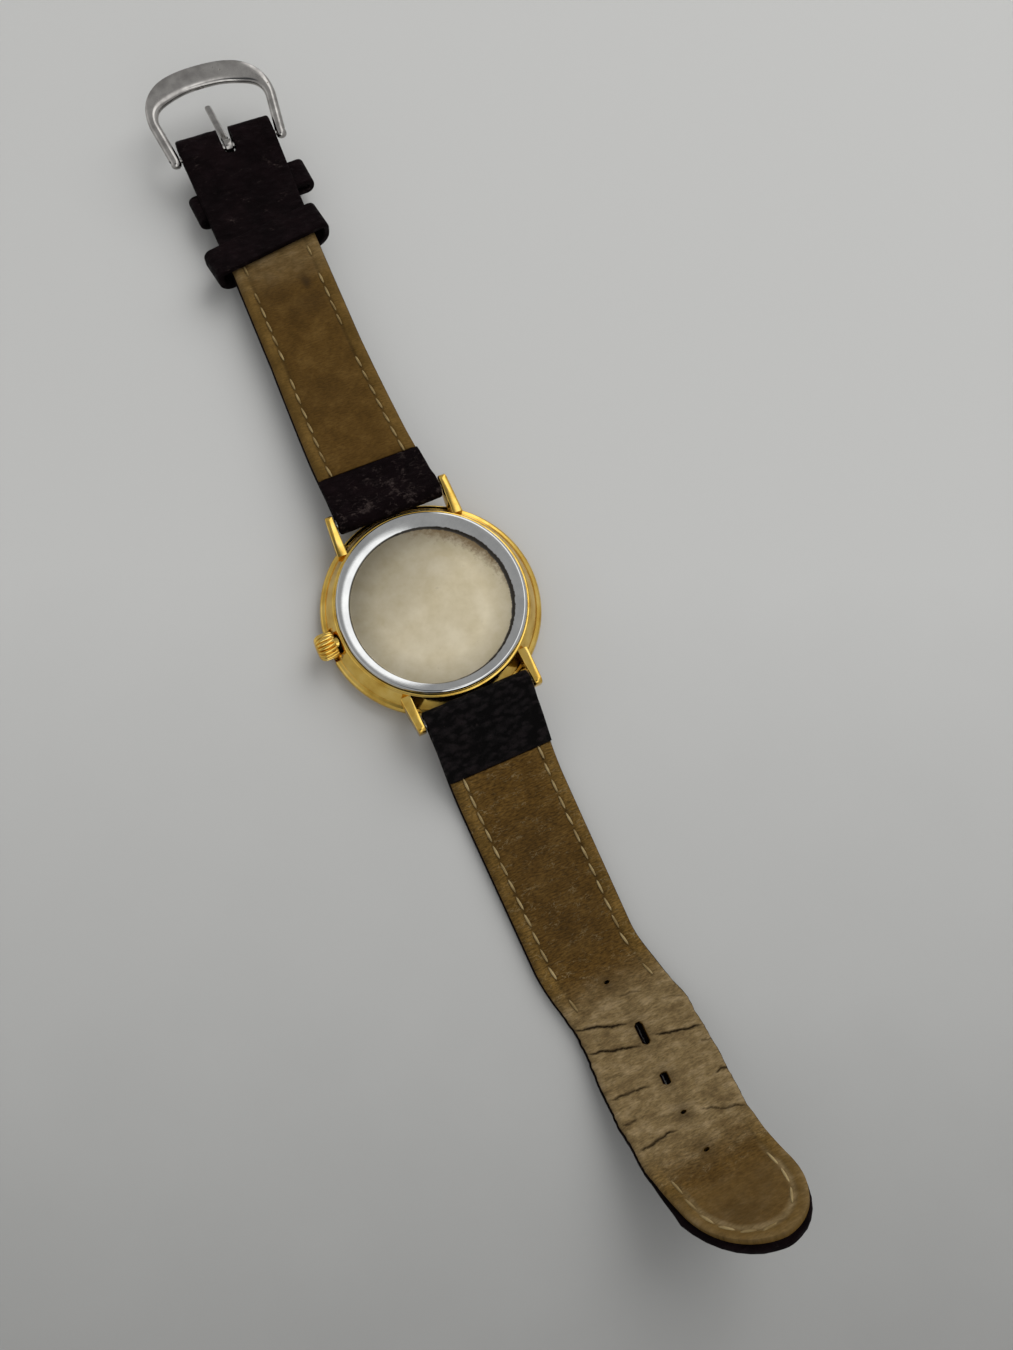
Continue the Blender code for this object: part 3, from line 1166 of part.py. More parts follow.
# Buckle
def arch_point(share):
    """Middle line of the frame in its own plane, from one leg's end round to the other."""
    legs = 0.3
    side = 1 if share < 0.5 else -1
    s = min(share, 1 - share)
    if s < legs:
        t = s / legs
        x = LEG_X + (SHOULDER_X - LEG_X) * max(t * (SHOULDER_AT + LEG_END) - LEG_END, 0.0) / SHOULDER_AT
        return Vector((side * x, t * (SHOULDER_AT + LEG_END) - LEG_END)), 0.0
    angle = (s - legs) / (0.5 - legs) * math.pi / 2
    power = 2 / ARCH_ROUND
    x = SHOULDER_X * math.cos(angle) ** power if angle < math.pi / 2 - 1e-6 else 0.0
    v = SHOULDER_AT + (ARCH_AT - SHOULDER_AT) * math.sin(angle) ** power
    return Vector((side * x, v)), angle / (math.pi / 2)


def make_buckle(looks):
    bm = bmesh.new()
    rings = []
    count = 28
    sides = 10
    for i in range(count + 1):
        share = i / count
        point, crown = arch_point(share)
        before = arch_point(max(share - 0.01, 0.0))[0]
        after = arch_point(min(share + 0.01, 1.0))[0]
        along = (after - before).normalized()
        across = Vector((along.y, -along.x))
        half_w = ease(LEG_W, ARCH_W, crown / ARCH_SPREAD) / 2
        half_t = ease(LEG_T, ARCH_T, crown / ARCH_SPREAD) / 2
        ring = []
        for k in range(sides):
            angle = 2 * math.pi * (k + 0.5) / sides
            flat = point + across * half_w * math.cos(angle)
            ring.append(bm.verts.new((flat.x, flat.y, half_t * math.sin(angle))))
        rings.append(ring)
    skin(bm, rings)
    place_on_bar(bm, BUCKLE_TILT)
    frame = add_object("buckle_frame", bm, looks["steel"], 60)
    reach = LEG_X + LEG_W
    hole = shift(rod_x(BAR_PIN_R + FIT, -reach, reach, BUCKLE_Y, Z_BUCKLE), x=BUCKLE_X)
    combine(frame, "DIFFERENCE", add_object("buckle_bar_hole", hole, looks["steel"]))
    inner = LEG_X - LEG_W / 2
    bar = make_bar(looks, "buckle_bar", BUCKLE_BAR_R, inner, LEG_W, (BUCKLE_X, BUCKLE_Y, Z_BUCKLE))
    bore = BUCKLE_BAR_R + FIT
    ring = turned(ring_profile(bore, bore + TONGUE_RING, -TONGUE_W / 2, TONGUE_W / 2), 20)
    ring = shift(along_x(ring, BUCKLE_Y, Z_BUCKLE), x=BUCKLE_X)
    tongue = add_object("buckle_tongue", ring, looks["steel"])
    start = bore + TONGUE_RING / 2
    side = [
        (start, -TONGUE_T / 2), (TONGUE_L - TONGUE_T, -TONGUE_T / 2), (TONGUE_L, -TONGUE_T / 4),
        (TONGUE_L, TONGUE_T / 4), (TONGUE_L - TONGUE_T, TONGUE_T / 2), (start, TONGUE_T / 2),
    ]
    shank = along_x(prism([(-z, y) for y, z in side], -TONGUE_W / 2, TONGUE_W / 2), 0, 0)
    place_on_bar(shank, TONGUE_DROOP)
    combine(tongue, "UNION", add_object("tongue_shank", shank, looks["steel"]))
    return frame, bar, tongue


def place_on_bar(bm, tilt):
    """Turns a shape round the buckle bar and moves it there."""
    turn = Matrix.Rotation(tilt, 3, "X")
    bmesh.ops.rotate(bm, verts=bm.verts, cent=(0, 0, 0), matrix=turn)
    shift(bm, BUCKLE_X, BUCKLE_Y, Z_BUCKLE)


def make_bar(looks, name, radius, inner, pin, place):
    """A bar between two inner faces, with thinner pins that reach into them."""
    x, y, z = place
    tube = shift(rod_x(radius, -inner + BAR_END_GAP, inner - BAR_END_GAP, y, z), x=x)
    body = add_object(name, tube, looks["steel"])
    pins = shift(rod_x(BAR_PIN_R, -inner - pin, inner + pin, y, z), x=x)
    return combine(body, "UNION", add_object(f"{name}_pins", pins, looks["steel"]))


def main():
    for old in list(bpy.data.objects):
        bpy.data.objects.remove(old)
    looks = make_finishes()
    make_case(looks)
    make_case_back(looks)
    make_crystal(looks)
    make_crown(looks)
    make_dial(looks)
    make_plate(looks)
    make_ring(looks)
    make_bridge(looks)
    make_motor(looks)
    make_power(looks)
    make_circuit(looks)

    cannon, hour_wheel = make_motion_works(looks)
    centre = make_going_train(looks)
    minute_turn = SHOWN_MINUTES / 60
    hour_turn = (SHOWN_HOURS + minute_turn) / 12
    minute_hand = make_hand(looks, "minute_hand", MINUTE_HAND_L, minute_turn, CANNON_R, Z_MINUTE_HAND)
    hour_hand = make_hand(looks, "hour_hand", HOUR_HAND_L, hour_turn, PIPE_R, Z_HOUR_HAND)
    hands_axis = axis_empty("hands_axis", Vector((0, 0, Z_DIAL_FACE)))
    hang_on(hands_axis, cannon, hour_wheel, centre, minute_hand, hour_hand)

    make_bar(looks, "spring_bar_upper", BAR_R, LUG_GAP / 2, BAR_PIN_DEPTH, (0, BAR_Y, Z_BAR))
    make_bar(looks, "spring_bar_lower", BAR_R, LUG_GAP / 2, BAR_PIN_DEPTH, (0, -BAR_Y, Z_BAR))
    short_outer, short_lining = make_short_strap(looks)
    long_outer, long_lining = make_long_strap(looks)
    free_keeper, fixed_keeper = make_keepers(looks)
    frame, bar, tongue = make_buckle(looks)
    short_axis = axis_empty("short_strap_axis", Vector((0, BAR_Y, Z_BAR)))
    hang_on(short_axis, short_outer, short_lining, fixed_keeper)
    hang_on(axis_empty("long_strap_axis", Vector((0, -BAR_Y, Z_BAR))), long_outer, long_lining)
    hang_on(axis_empty("buckle_axis", Vector((0, BUCKLE_Y, Z_BUCKLE))), frame, bar, tongue)
    hang_on(axis_empty("free_keeper_slide", Vector((0, BAR_Y + FREE_KEEPER_AT, Z_SHORT))), free_keeper)


main()
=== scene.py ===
import json
import math

import bmesh
import bpy
import numpy as np
from mathutils import Matrix, Vector, noise


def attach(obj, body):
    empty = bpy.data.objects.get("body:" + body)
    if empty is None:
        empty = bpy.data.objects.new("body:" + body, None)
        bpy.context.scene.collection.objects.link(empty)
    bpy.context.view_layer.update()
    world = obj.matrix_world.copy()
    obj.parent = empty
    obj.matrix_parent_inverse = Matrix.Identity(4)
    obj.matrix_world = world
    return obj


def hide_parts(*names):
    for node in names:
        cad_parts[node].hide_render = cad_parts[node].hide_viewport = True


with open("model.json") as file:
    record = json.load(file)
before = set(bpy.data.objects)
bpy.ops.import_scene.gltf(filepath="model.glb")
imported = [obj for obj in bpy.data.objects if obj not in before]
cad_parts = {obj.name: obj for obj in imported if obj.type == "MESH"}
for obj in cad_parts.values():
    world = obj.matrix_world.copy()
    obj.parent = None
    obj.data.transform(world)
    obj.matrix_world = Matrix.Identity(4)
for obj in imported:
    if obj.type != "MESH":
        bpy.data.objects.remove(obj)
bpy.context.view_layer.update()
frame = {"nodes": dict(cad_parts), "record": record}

# Sizes in millimetres, which follow the solids
MM = 0.001
BAR_Y = 17.4
Z_BAR = 5.5
Z_SHORT = 4.575
Z_LONG = 1.025
LEATHER_T = 1.0
LINING_T = 1.1
LAYER_GAP = 0.05
FOLD_RUN = 4.0
FOLD_TURN = math.radians(100)
END_GAP = 0.15
LUG_STRAP_W = 17.4
SWAY_L = 12.0
BAR_R = 0.75
BUCKLE_BAR_R = 0.6
LEATHER_FIT = 0.10

SHORT_L = 71.0
SHORT_FOLD = 7.45
BUCKLE_FOLD = 19.6
BUCKLE_SPREAD_L = 25.0
SHORT_WAIST_W = 15.8
SHORT_TAPER_L = 30.0
BUCKLE_STRAP_W = 16.5
SHORT_SWAY = -0.45
BUCKLE_X = 0.5
BUCKLE_Y = 88.4
Z_BUCKLE = 6.275
BUCKLE_LOOP_SLACK = 1.7
LAY_DOWN = 26.0
BUCKLE_RISE_L = 11.0
BUCKLE_RISE = 1.7
SLOT_W = 2.2
SLOT_BACK = 2.0
SLOT_AHEAD = 5.0

LONG_FLAT_L = 46.8
LONG_FOLD = 9.3
LONG_LAY_DOWN = 15.5
CURL_R = 40.8
LONG_L = 87.0
MID_STRAP_W = 16.4
WORN_STRAP_W = 18.4
TAIL_STRAP_W = 17.2
TIP_L = 9.7
TIP_BARE = 0.75
TIP_ASIDE = 0.45
LONG_SWAY = -0.30
SIDE_SHIFT = 2.5
SHIFT_FROM = 39.2
SHIFT_TO = 53.8
TIP_SHIFT = 3.1
TIP_SHIFT_L = 18.2
WORN_AT = 61.2
TAIL_AT = 76.3
HOLES = ((45.3, 0.0), (52.9, 2.1), (60.6, 0.6), (66.0, 0.0), (71.8, 0.0))
HOLE_R = 0.85

LEG_X = 9.4
LEG_W = 1.8
LEG_T = 1.5
LEG_END = 1.0
SHOULDER_X = 10.3
SHOULDER_AT = 6.6
ARCH_AT = 12.65
ARCH_W = 3.8
ARCH_T = 1.3
ARCH_SPREAD = 0.7
ARCH_TILT = math.radians(13)
BUCKLE_PIN_R = 0.45
TONGUE_FROM = 0.9
TONGUE_L = 11.5
TONGUE_W = 1.3
TONGUE_T = 0.9
TONGUE_TILT = math.radians(-15)
TONGUE_LOOP_R = 1.15
TONGUE_BORE = 0.65

BACK_R = 14.8
LIP_R = 15.2
FLANGE_R = 17.5
FLANGE_LOW = 1.7
FLANGE_TOP = 2.3
CRYSTAL_R = 14.2
CRYSTAL_T = 1.2
CRYSTAL_BORE = 14.8
BEZEL_RIM_R = 15.9
BEZEL_Z = 0.35
BEZEL_SHOULDER = (17.0, 1.2)
FLANGE_UNDER = (17.25, 2.8)
BAND_CORNER = (16.65, 2.9)
BAND_FOOT = (16.6, 3.0)
BAND_TOP = (15.4, 5.2)
OPENING_R = 13.2
OPENING_Z = 1.25
CASE_BORE = 14.05
DIAL_SEAT_Z = 2.4
BACK_SEAT_R = 14.25
BACK_SEAT_Z = 4.2
LIP_Z = 5.4
GASKET_R = 14.85
GASKET_Z = 5.0
Z_STEM = 4.0
STEM_BORE = 0.9
FACET_X = 15.95
FACET_W = 5.1
FACET_Z = 1.45
CROWN_X = 16.15
CROWN_R = 2.15
CROWN_L = 3.1
CROWN_FLUTES = 18
FLUTE_DEPTH = 0.34
LUG_GAP = 18.0
LUG_W = 1.2
LUG_ROOT_W = 1.6
LUG_ROOT_R = 15.25
LUG_REACH = 1.3
LUG_MID_Z = 4.6
LUG_TIP_CUT = 0.5
LUG_TIP_LOW = 4.7
LUG_TIP_TOP = 6.55
LUG_ROOT_TOP = 5.3
PIN_BORE = 0.45
PIN_BORE_L = 19.5
PIN_L = 0.62
PIN_R = 0.38
PIN_NOSE = 0.12
PIN_NOSE_R = 0.30
BAR_PLAY = 0.1
BAR_CHAMFER = 0.08
# A collar's groove on a spring bar: distance from the tube's end and depth
COLLAR_GROOVE = ((1.2, 0.0), (1.25, 0.12), (1.55, 0.12), (1.6, 0.0))
DISC_R = 12.6
Z_BACK = 6.35
Z_DISC = 5.9
DISC_SHIFT = (-0.25, -0.55)
SNAP_R = 14.2
SNAP_IN_R = 13.6
SNAP_Z = 4.75
BACK_UNDER_Z = 5.45

KEEPER_L = 5.0
KEEPER_WALL = 1.05
KEEPER_SIDE = 0.8
KEEPER_TOP_CORNER = 0.85
KEEPER_LIFT = 0.2
SEWN_CORNER = 0.6
FIXED_KEEPER_AT = 62.8
FIXED_KEEPER_X = 0.8
FIXED_KEEPER_SKEW = math.radians(3.6)
FREE_KEEPER_AT = 51.5
FREE_KEEPER_X = -0.43
FREE_KEEPER_SKEW = math.radians(9.0)

DIAL_R = 13.95
DIAL_BORE = 0.85
DIAL_LOW = 2.45
DIAL_TOP = 2.8

# Forms that only this scene draws, in millimetres
STITCH_PITCH = 2.75
STITCH_L = 2.3
THREAD = 0.42
SEAM_IN = 2.3
LINING_IN = 0.22
SEAM_AT = SEAM_IN - LINING_IN
STITCH_SUNK = 0.13
FACE_STITCH_SUNK = 0.15
FREE_KEEPER_FOOT = 2.45
FREE_FOOT_CORNER = 2.0
SEWN_KEEPER_FOOT = 2.75
SEWN_FOOT_CORNER = 0.95
SEWN_END_IN = 0.6
KEEPER_EDGE = 0.34
KEEPER_STEP = 0.7
LEATHER_EDGE = 0.42
FACE_GRAIN = 0.05
RIM_ROLL, RIM_ROLL_W = 0.55, 0.9
SEAM_GROOVE, SEAM_GROOVE_W = 0.15, 0.42
LINING_WAVE = 0.05
LINING_RIPPLE = 0.08
LINING_LEAST = 0.12
PEBBLE_DEPTH = 0.34
CREASE_DEPTH = 0.30
CREASE_AT = SHORT_L - 4.3
CRACK_DEPTH = 0.42
LUG_SOFT = 0.14
HAND_TAIL = 2.4
HAND_HALF_W = 0.40
HAND_T = 0.15
HAND_RIDGE = 0.06
HUB_WALL = 0.8
HUB_LOW, HUB_TOP = 0.02, 0.14

# Where the long half wore, along it from the spring bar, with the lengths of the soft starts and ends
WORN_FROM, WORN_RAMP = 42.0, 8.0
WORN_TO, WORN_FADE = 67.0, 9.0
TIP_WORN_FROM, TIP_WORN_RAMP = 72.0, 7.0
TIP_CUT_FROM = 70.0

# How the leather and the buckle's legs thin at their last rows
THIN_ENDS = (0.55, 0.8, 0.94, 1.0)
LINING_ENDS = (0.35, 0.12, 0.0)
LEG_ENDS = (0.62, 0.85, 0.96, 1.0)


# Mesh helpers
def solid(name, points, faces, look, sharp=38):
    """A mesh object at the origin from points in millimetres, smooth with crisp edges."""
    mesh = bpy.data.meshes.new(name)
    mesh.from_pydata([tuple(c * MM for c in p) for p in points], [], faces)
    bm = bmesh.new()
    bm.from_mesh(mesh)
    bmesh.ops.remove_doubles(bm, verts=bm.verts, dist=1e-7)
    bmesh.ops.recalc_face_normals(bm, faces=bm.faces)
    bm.to_mesh(mesh)
    bm.free()
    mesh.shade_smooth()
    mesh.set_sharp_from_angle(angle=math.radians(sharp))
    mesh.materials.append(look)
    made = bpy.data.objects.new(name, mesh)
    bpy.context.scene.collection.objects.link(made)
    return made


def settle(made):
    """Turns an object's live modifiers into its plain mesh."""
    graph = bpy.context.evaluated_depsgraph_get()
    mesh = bpy.data.meshes.new_from_object(made.evaluated_get(graph))
    made.modifiers.clear()
    made.data = mesh
    mesh.name = made.name
    return made


def combine(body, operation, *tools):
    """Joins or cuts a body with tools, which are then removed."""
    for tool in tools:
        change = body.modifiers.new(operation, "BOOLEAN")
        change.operation = operation
        change.solver = "EXACT"
        change.object = tool
        settle(body)
        bpy.data.objects.remove(tool)


def crisp(made, sharp):
    """Clears the slivers that a cut leaves, and shades smooth with crisp edges."""
    bm = bmesh.new()
    bm.from_mesh(made.data)
    bmesh.ops.dissolve_degenerate(bm, dist=1e-6, edges=bm.edges)
    bm.to_mesh(made.data)
    bm.free()
    made.data.shade_smooth()
    made.data.set_sharp_from_angle(angle=math.radians(sharp))


def skin(rings, closed=True, capped=True, loop=False):
    """Points and faces between rows of points, which are closed or open rows, in a run or a loop."""
    points = [p for ring in rings for p in ring]
    size = len(rings[0])
    count = len(rings)
    faces = []
    for i in range(count if loop else count - 1):
        a = i * size
        b = ((i + 1) % count) * size
        for k in range(size if closed else size - 1):
            n = (k + 1) % size
            faces.append((a + k, a + n, b + n, b + k))
    if capped and not loop:
        faces.append(tuple(range(size)))
        faces.append(tuple((count - 1) * size + k for k in range(size)))
    return points, faces


def circle(radius, count):
    """Pairs of points round a circle."""
    angles = [2 * math.pi * k / count for k in range(count)]
    return [(radius * math.cos(angle), radius * math.sin(angle)) for angle in angles]


def squared_circle(count, power):
    """Pairs of points round a unit circle that is pushed out towards a square."""
    return [tuple(math.copysign(abs(v) ** power, v) for v in pair) for pair in circle(1.0, count)]


def turned(profile, turns, closed=True):
    """A profile of radius and height turned round the watch's axis."""
    rings = [[(r * c, r * s, z) for r, z in profile] for c, s in circle(1.0, turns)]
    return skin(rings, closed, False, True)


def rounded(corners, radius, count=4):
    """A closed outline with its corners rounded, all by one radius or each by its own."""
    made = []
    size = len(corners)
    for i, corner in enumerate(corners):
        here = Vector(corner)
        before = Vector(corners[i - 1]) - here
        after = Vector(corners[(i + 1) % size]) - here
        cut = radius[i] if isinstance(radius, (list, tuple)) else radius
        cut = min(cut, before.length * 0.49, after.length * 0.49)
        if cut < 1e-4:
            made.append(tuple(here))
            continue
        start = here + before.normalized() * cut
        end = here + after.normalized() * cut
        for k in range(count + 1):
            t = k / count
            made.append(tuple(start * (1 - t) ** 2 + here * 2 * t * (1 - t) + end * t * t))
    return made


def box_outline(x0, x1, y0, y1):
    return [(x0, y0), (x1, y0), (x1, y1), (x0, y1)]


def upright(name, outline, z0, z1):
    """A straight block that stands on an outline."""
    return solid(name, *skin([[(x, y, z) for x, y in outline] for z in (z0, z1)]), GOLD)


def rod(radius, x0, x1, y, z):
    """A round rod across the watch, for holes."""
    return solid("tool", *skin([[(x, y + a, z + b) for a, b in circle(radius, 32)] for x in (x0, x1)]), GOLD)


def ease(start, end, share):
    """Goes softly from start to end as the share goes from 0 to 1."""
    t = min(max(share, 0.0), 1.0)
    return start + (end - start) * t * t * (3 - 2 * t)


def rise(place, start, length):
    """Goes softly from 0 to 1 over a length that begins at start."""
    return ease(0, 1, (place - start) / length)


def bell(distance, width):
    """Goes from 1 in the middle to nothing beyond about twice the width."""
    return math.exp(-(distance / width) ** 2)


def grain(x, y, z=0.0):
    """Smooth noise from -1 to 1 on a millimetre grid, the same on every run."""
    return noise.noise(Vector((x, y, z)))


def steps(start, end, pitch):
    """Even steps from start to end, no longer than the pitch."""
    count = max(1, math.ceil(abs(end - start) / pitch - 1e-6))
    return [start + (end - start) * i / count for i in range(count + 1)]


def keep_attribute(made, name, values):
    layer = made.data.attributes.new(name, "FLOAT", "POINT")
    layer.data.foreach_set("value", np.array(values, dtype=np.float32))


def place_piece(made, body, slot, *nodes):
    """Puts a finished piece on its body and hides the solids it stands for. Its slot is not used."""
    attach(made, body)
    if nodes:
        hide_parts(*nodes)


# Materials
def linear(shade):
    """An sRGB hex value as linear colour."""
    parts = [int(shade[i:i + 2], 16) / 255 for i in (1, 3, 5)]
    return tuple(c / 12.92 if c <= 0.04045 else ((c + 0.055) / 1.055) ** 2.4 for c in parts) + (1.0,)


def wire(node, inputs):
    """Sets inputs, by name or in the node's own order, each to a value or to another node's first output."""
    sockets = [socket for socket in node.inputs if socket.enabled]
    named = {socket.name: socket for socket in sockets}
    if isinstance(inputs, dict):
        sockets = [named[key] for key in inputs]
        inputs = inputs.values()
    for socket, value in zip(sockets, inputs):
        if isinstance(value, bpy.types.Node):
            value = next(out for out in value.outputs if out.enabled)
        if isinstance(value, bpy.types.NodeSocket):
            node.id_data.links.new(value, socket)
        else:
            socket.default_value = value


def add(tree, kind, inputs=(), stops=(), **settings):
    """One node with its settings, its inputs and its colour stops. Shader nodes go by their short names."""
    node = tree.nodes.new(kind if "Node" in kind else "ShaderNode" + kind)
    for key, value in settings.items():
        setattr(node, key, value)
    if stops:
        ramp = node.color_ramp.elements
        while len(ramp) < len(stops):
            ramp.new(1.0)
        for element, (place, shade) in zip(ramp, stops):
            element.position = place
            element.color = linear(shade) if isinstance(shade, str) else (shade, shade, shade, 1.0)
    wire(node, inputs)
    return node


def start_look(name, **sockets):
    """A material's tree and shader, with the values that are the same all over set on the shader."""
    look = bpy.data.materials.new(name)
    look.use_nodes = True
    shader = look.node_tree.nodes["Principled BSDF"]
    wire(shader, {key.replace("_", " "): value for key, value in sockets.items()})
    return look, look.node_tree, shader


def gold_plate():
    """Polished gold plate on brass: a warm mirror with fine wiping scratches and slightly dulled patches."""
    look, tree, shader = start_look("polished_gold_plate", Metallic=1.0)
    place = add(tree, "TexCoord").outputs["Object"]
    # 2.5 mm patches where the plate has dulled
    patch = add(tree, "TexNoise", {"Vector": place, "Scale": 400.0, "Detail": 5.0})
    tone = add(tree, "ValToRGB", [patch], [(0.30, "#CFA446"), (0.52, "#E6C060"), (0.75, "#F0CF78")])
    dull = add(tree, "MapRange", [patch, 0.35, 0.6, 0.22, 0.09])
    # 0.1 mm by 2 mm wiping scratches
    stretch = add(tree, "Mapping",
                  {"Vector": place, "Rotation": (0.4, 0.3, 0.7), "Scale": (500, 9000, 9000)})
    scratch = add(tree, "TexNoise", {"Vector": stretch, "Scale": 1.0, "Detail": 3.0})
    bump = add(tree, "Bump", {"Height": scratch, "Strength": 0.06, "Distance": 0.00005})
    wire(shader, {"Base Color": tone, "Roughness": dull, "Normal": bump})
    return look


def back_steel():
    """Stainless snap back: a polished ring, a satin middle warmed by skin oils with painted shade towards the
    buckle and near the step, and grime with painted shade in the step.
    """
    look, tree, shader = start_look("stainless_back", Metallic=1.0)
    place = add(tree, "TexCoord").outputs["Object"]
    # Millimetres from the middle of the sunk disc
    aside = (-DISC_SHIFT[0], -DISC_SHIFT[1], 0.0)
    flat = add(tree, "VectorMath", [place, (1000.0, 1000.0, 0.0), aside], operation="MULTIPLY_ADD")
    radius = add(tree, "VectorMath", [flat], operation="LENGTH")
    ring = add(tree, "MapRange", [radius, DISC_R + 0.04, DISC_R + 0.16])
    # 4 mm clouds in the satin
    cloud = add(tree, "TexNoise", {"Vector": place, "Scale": 260.0, "Detail": 7.0, "Roughness": 0.6})
    satin = add(tree, "ValToRGB", [cloud], [(0.34, "#CFC2A2"), (0.5, "#D8CCAF"), (0.66, "#E0D5BA")])
    # Painted shade: the satin is darkened towards the buckle, and close to the step, where the darkening is
    # partly grime as well
    reach = add(tree, "VectorMath", [flat, (-0.045, 0.089, 0.0)], operation="DOT_PRODUCT")
    painted_shade_away = add(tree, "MapRange", [reach, 0.0, 1.2, 1.0, 0.50])
    close = add(tree, "MapRange", [radius, 8.5, 12.5, 1.0, 0.66])
    dull = add(tree, "Math", [painted_shade_away, close], operation="MULTIPLY")
    worn = add(tree, "Mix", [1.0, satin, dull], data_type="RGBA", blend_type="MULTIPLY")
    bright = add(tree, "ValToRGB", [cloud], [(0.3, "#BDBEBE"), (0.6, "#CECFCE")])
    metal = add(tree, "Mix", [ring, worn, bright], data_type="RGBA")
    # A brown patch of grime, in 1 mm crumbs, on the upper right of the sunk middle
    crumbs = add(tree, "TexNoise", {"Vector": place, "Scale": 1100.0, "Detail": 8.0, "Roughness": 0.7})
    lean = add(tree, "VectorMath", [flat, (0.0616, 0.0504, 0.0)], operation="DOT_PRODUCT")
    facing = add(tree, "MapRange", [lean, 0.50, 0.95])
    near = add(tree, "MapRange", [radius, 9.6, 12.5])
    mass = add(tree, "Math", [near, facing], operation="MULTIPLY")
    heap = add(tree, "Math", [mass, 0.6, crumbs], operation="MULTIPLY_ADD")
    heaped = add(tree, "MapRange", [heap, 0.64, 0.98])
    sunk = add(tree, "MapRange", [radius, DISC_R - 0.1, DISC_R, 1.0, 0.0])
    heaped = add(tree, "Math", [heaped, sunk], operation="MULTIPLY")
    # A dark line along the step, thickest on the right: partly grime, partly painted shade of the step
    east = add(tree, "VectorMath", [flat, (0.0776, 0.012, 0.0)], operation="DOT_PRODUCT")
    reach = add(tree, "MapRange", [east, -0.6, 0.95, 0.06, 0.74])
    thick = add(tree, "Math", [crumbs, reach], operation="MULTIPLY")
    off = add(tree, "Math", [radius, DISC_R + 0.02], operation="SUBTRACT")
    apart = add(tree, "Math", [off], operation="ABSOLUTE")
    inside = add(tree, "Math", [thick, apart], operation="SUBTRACT")
    step_grime_and_shade = add(tree, "MapRange", [inside, 0.0, 0.12])
    brown = add(tree, "Mix", [heaped, metal, linear("#6A5738")], data_type="RGBA")
    grimy_and_shaded = add(tree, "Mix", [step_grime_and_shade, brown, linear("#231D14")], data_type="RGBA")
    grime = add(tree, "Math", [heaped, step_grime_and_shade], operation="MAXIMUM")
    clean = add(tree, "MapRange", [grime, 0.0, 1.0, 1.0, 0.1])
    polish = add(tree, "MapRange", [ring, 0.0, 1.0, 0.40, 0.02])
    smear = add(tree, "Math", [cloud, 0.07, polish], operation="MULTIPLY_ADD")
    # Satin lines 0.12 mm apart, drawn about twice as coarse as the real ones so that they show
    stretch = add(tree, "Mapping",
                  {"Vector": place, "Rotation": (0, 0, 0.6), "Scale": (300, 6000, 300)})
    lines = add(tree, "TexNoise", {"Vector": stretch, "Scale": 1.0, "Detail": 4.0})
    bump = add(tree, "Bump", {"Height": lines, "Strength": 0.08, "Distance": 0.00004})
    wire(shader, {"Base Color": grimy_and_shaded, "Metallic": clean, "Roughness": smear, "Normal": bump})
    return look


def bright_steel(name, shade, pale, rough):
    """Polished or satin steel: a cool mirror with pits where the polish has gone."""
    look, tree, shader = start_look(name, Metallic=1.0)
    place = add(tree, "TexCoord").outputs["Object"]
    cloud = add(tree, "TexNoise", {"Vector": place, "Scale": 500.0, "Detail": 6.0})
    tone = add(tree, "ValToRGB", [cloud], [(0.3, shade), (0.65, pale)])
    # 0.25 mm pits in 2 mm clusters
    pits = add(tree, "TexVoronoi", {"Vector": place, "Scale": 900.0})
    pit = add(tree, "MapRange", [pits, 0.05, 0.16])
    few = add(tree, "MapRange", [cloud, 0.57, 0.62, 1.0, 0.0])
    kept = add(tree, "Math", [pit, few], operation="MAXIMUM")
    spotted = add(tree, "Mix", [kept, linear("#6B6259"), tone], data_type="RGBA")
    spread = add(tree, "MapRange", [cloud, 0.3, 0.7, rough + 0.1, rough])
    bump = add(tree, "Bump", {"Height": kept, "Strength": 0.2, "Distance": 0.00005})
    wire(shader, {"Base Color": spotted, "Roughness": spread, "Normal": bump})
    return look


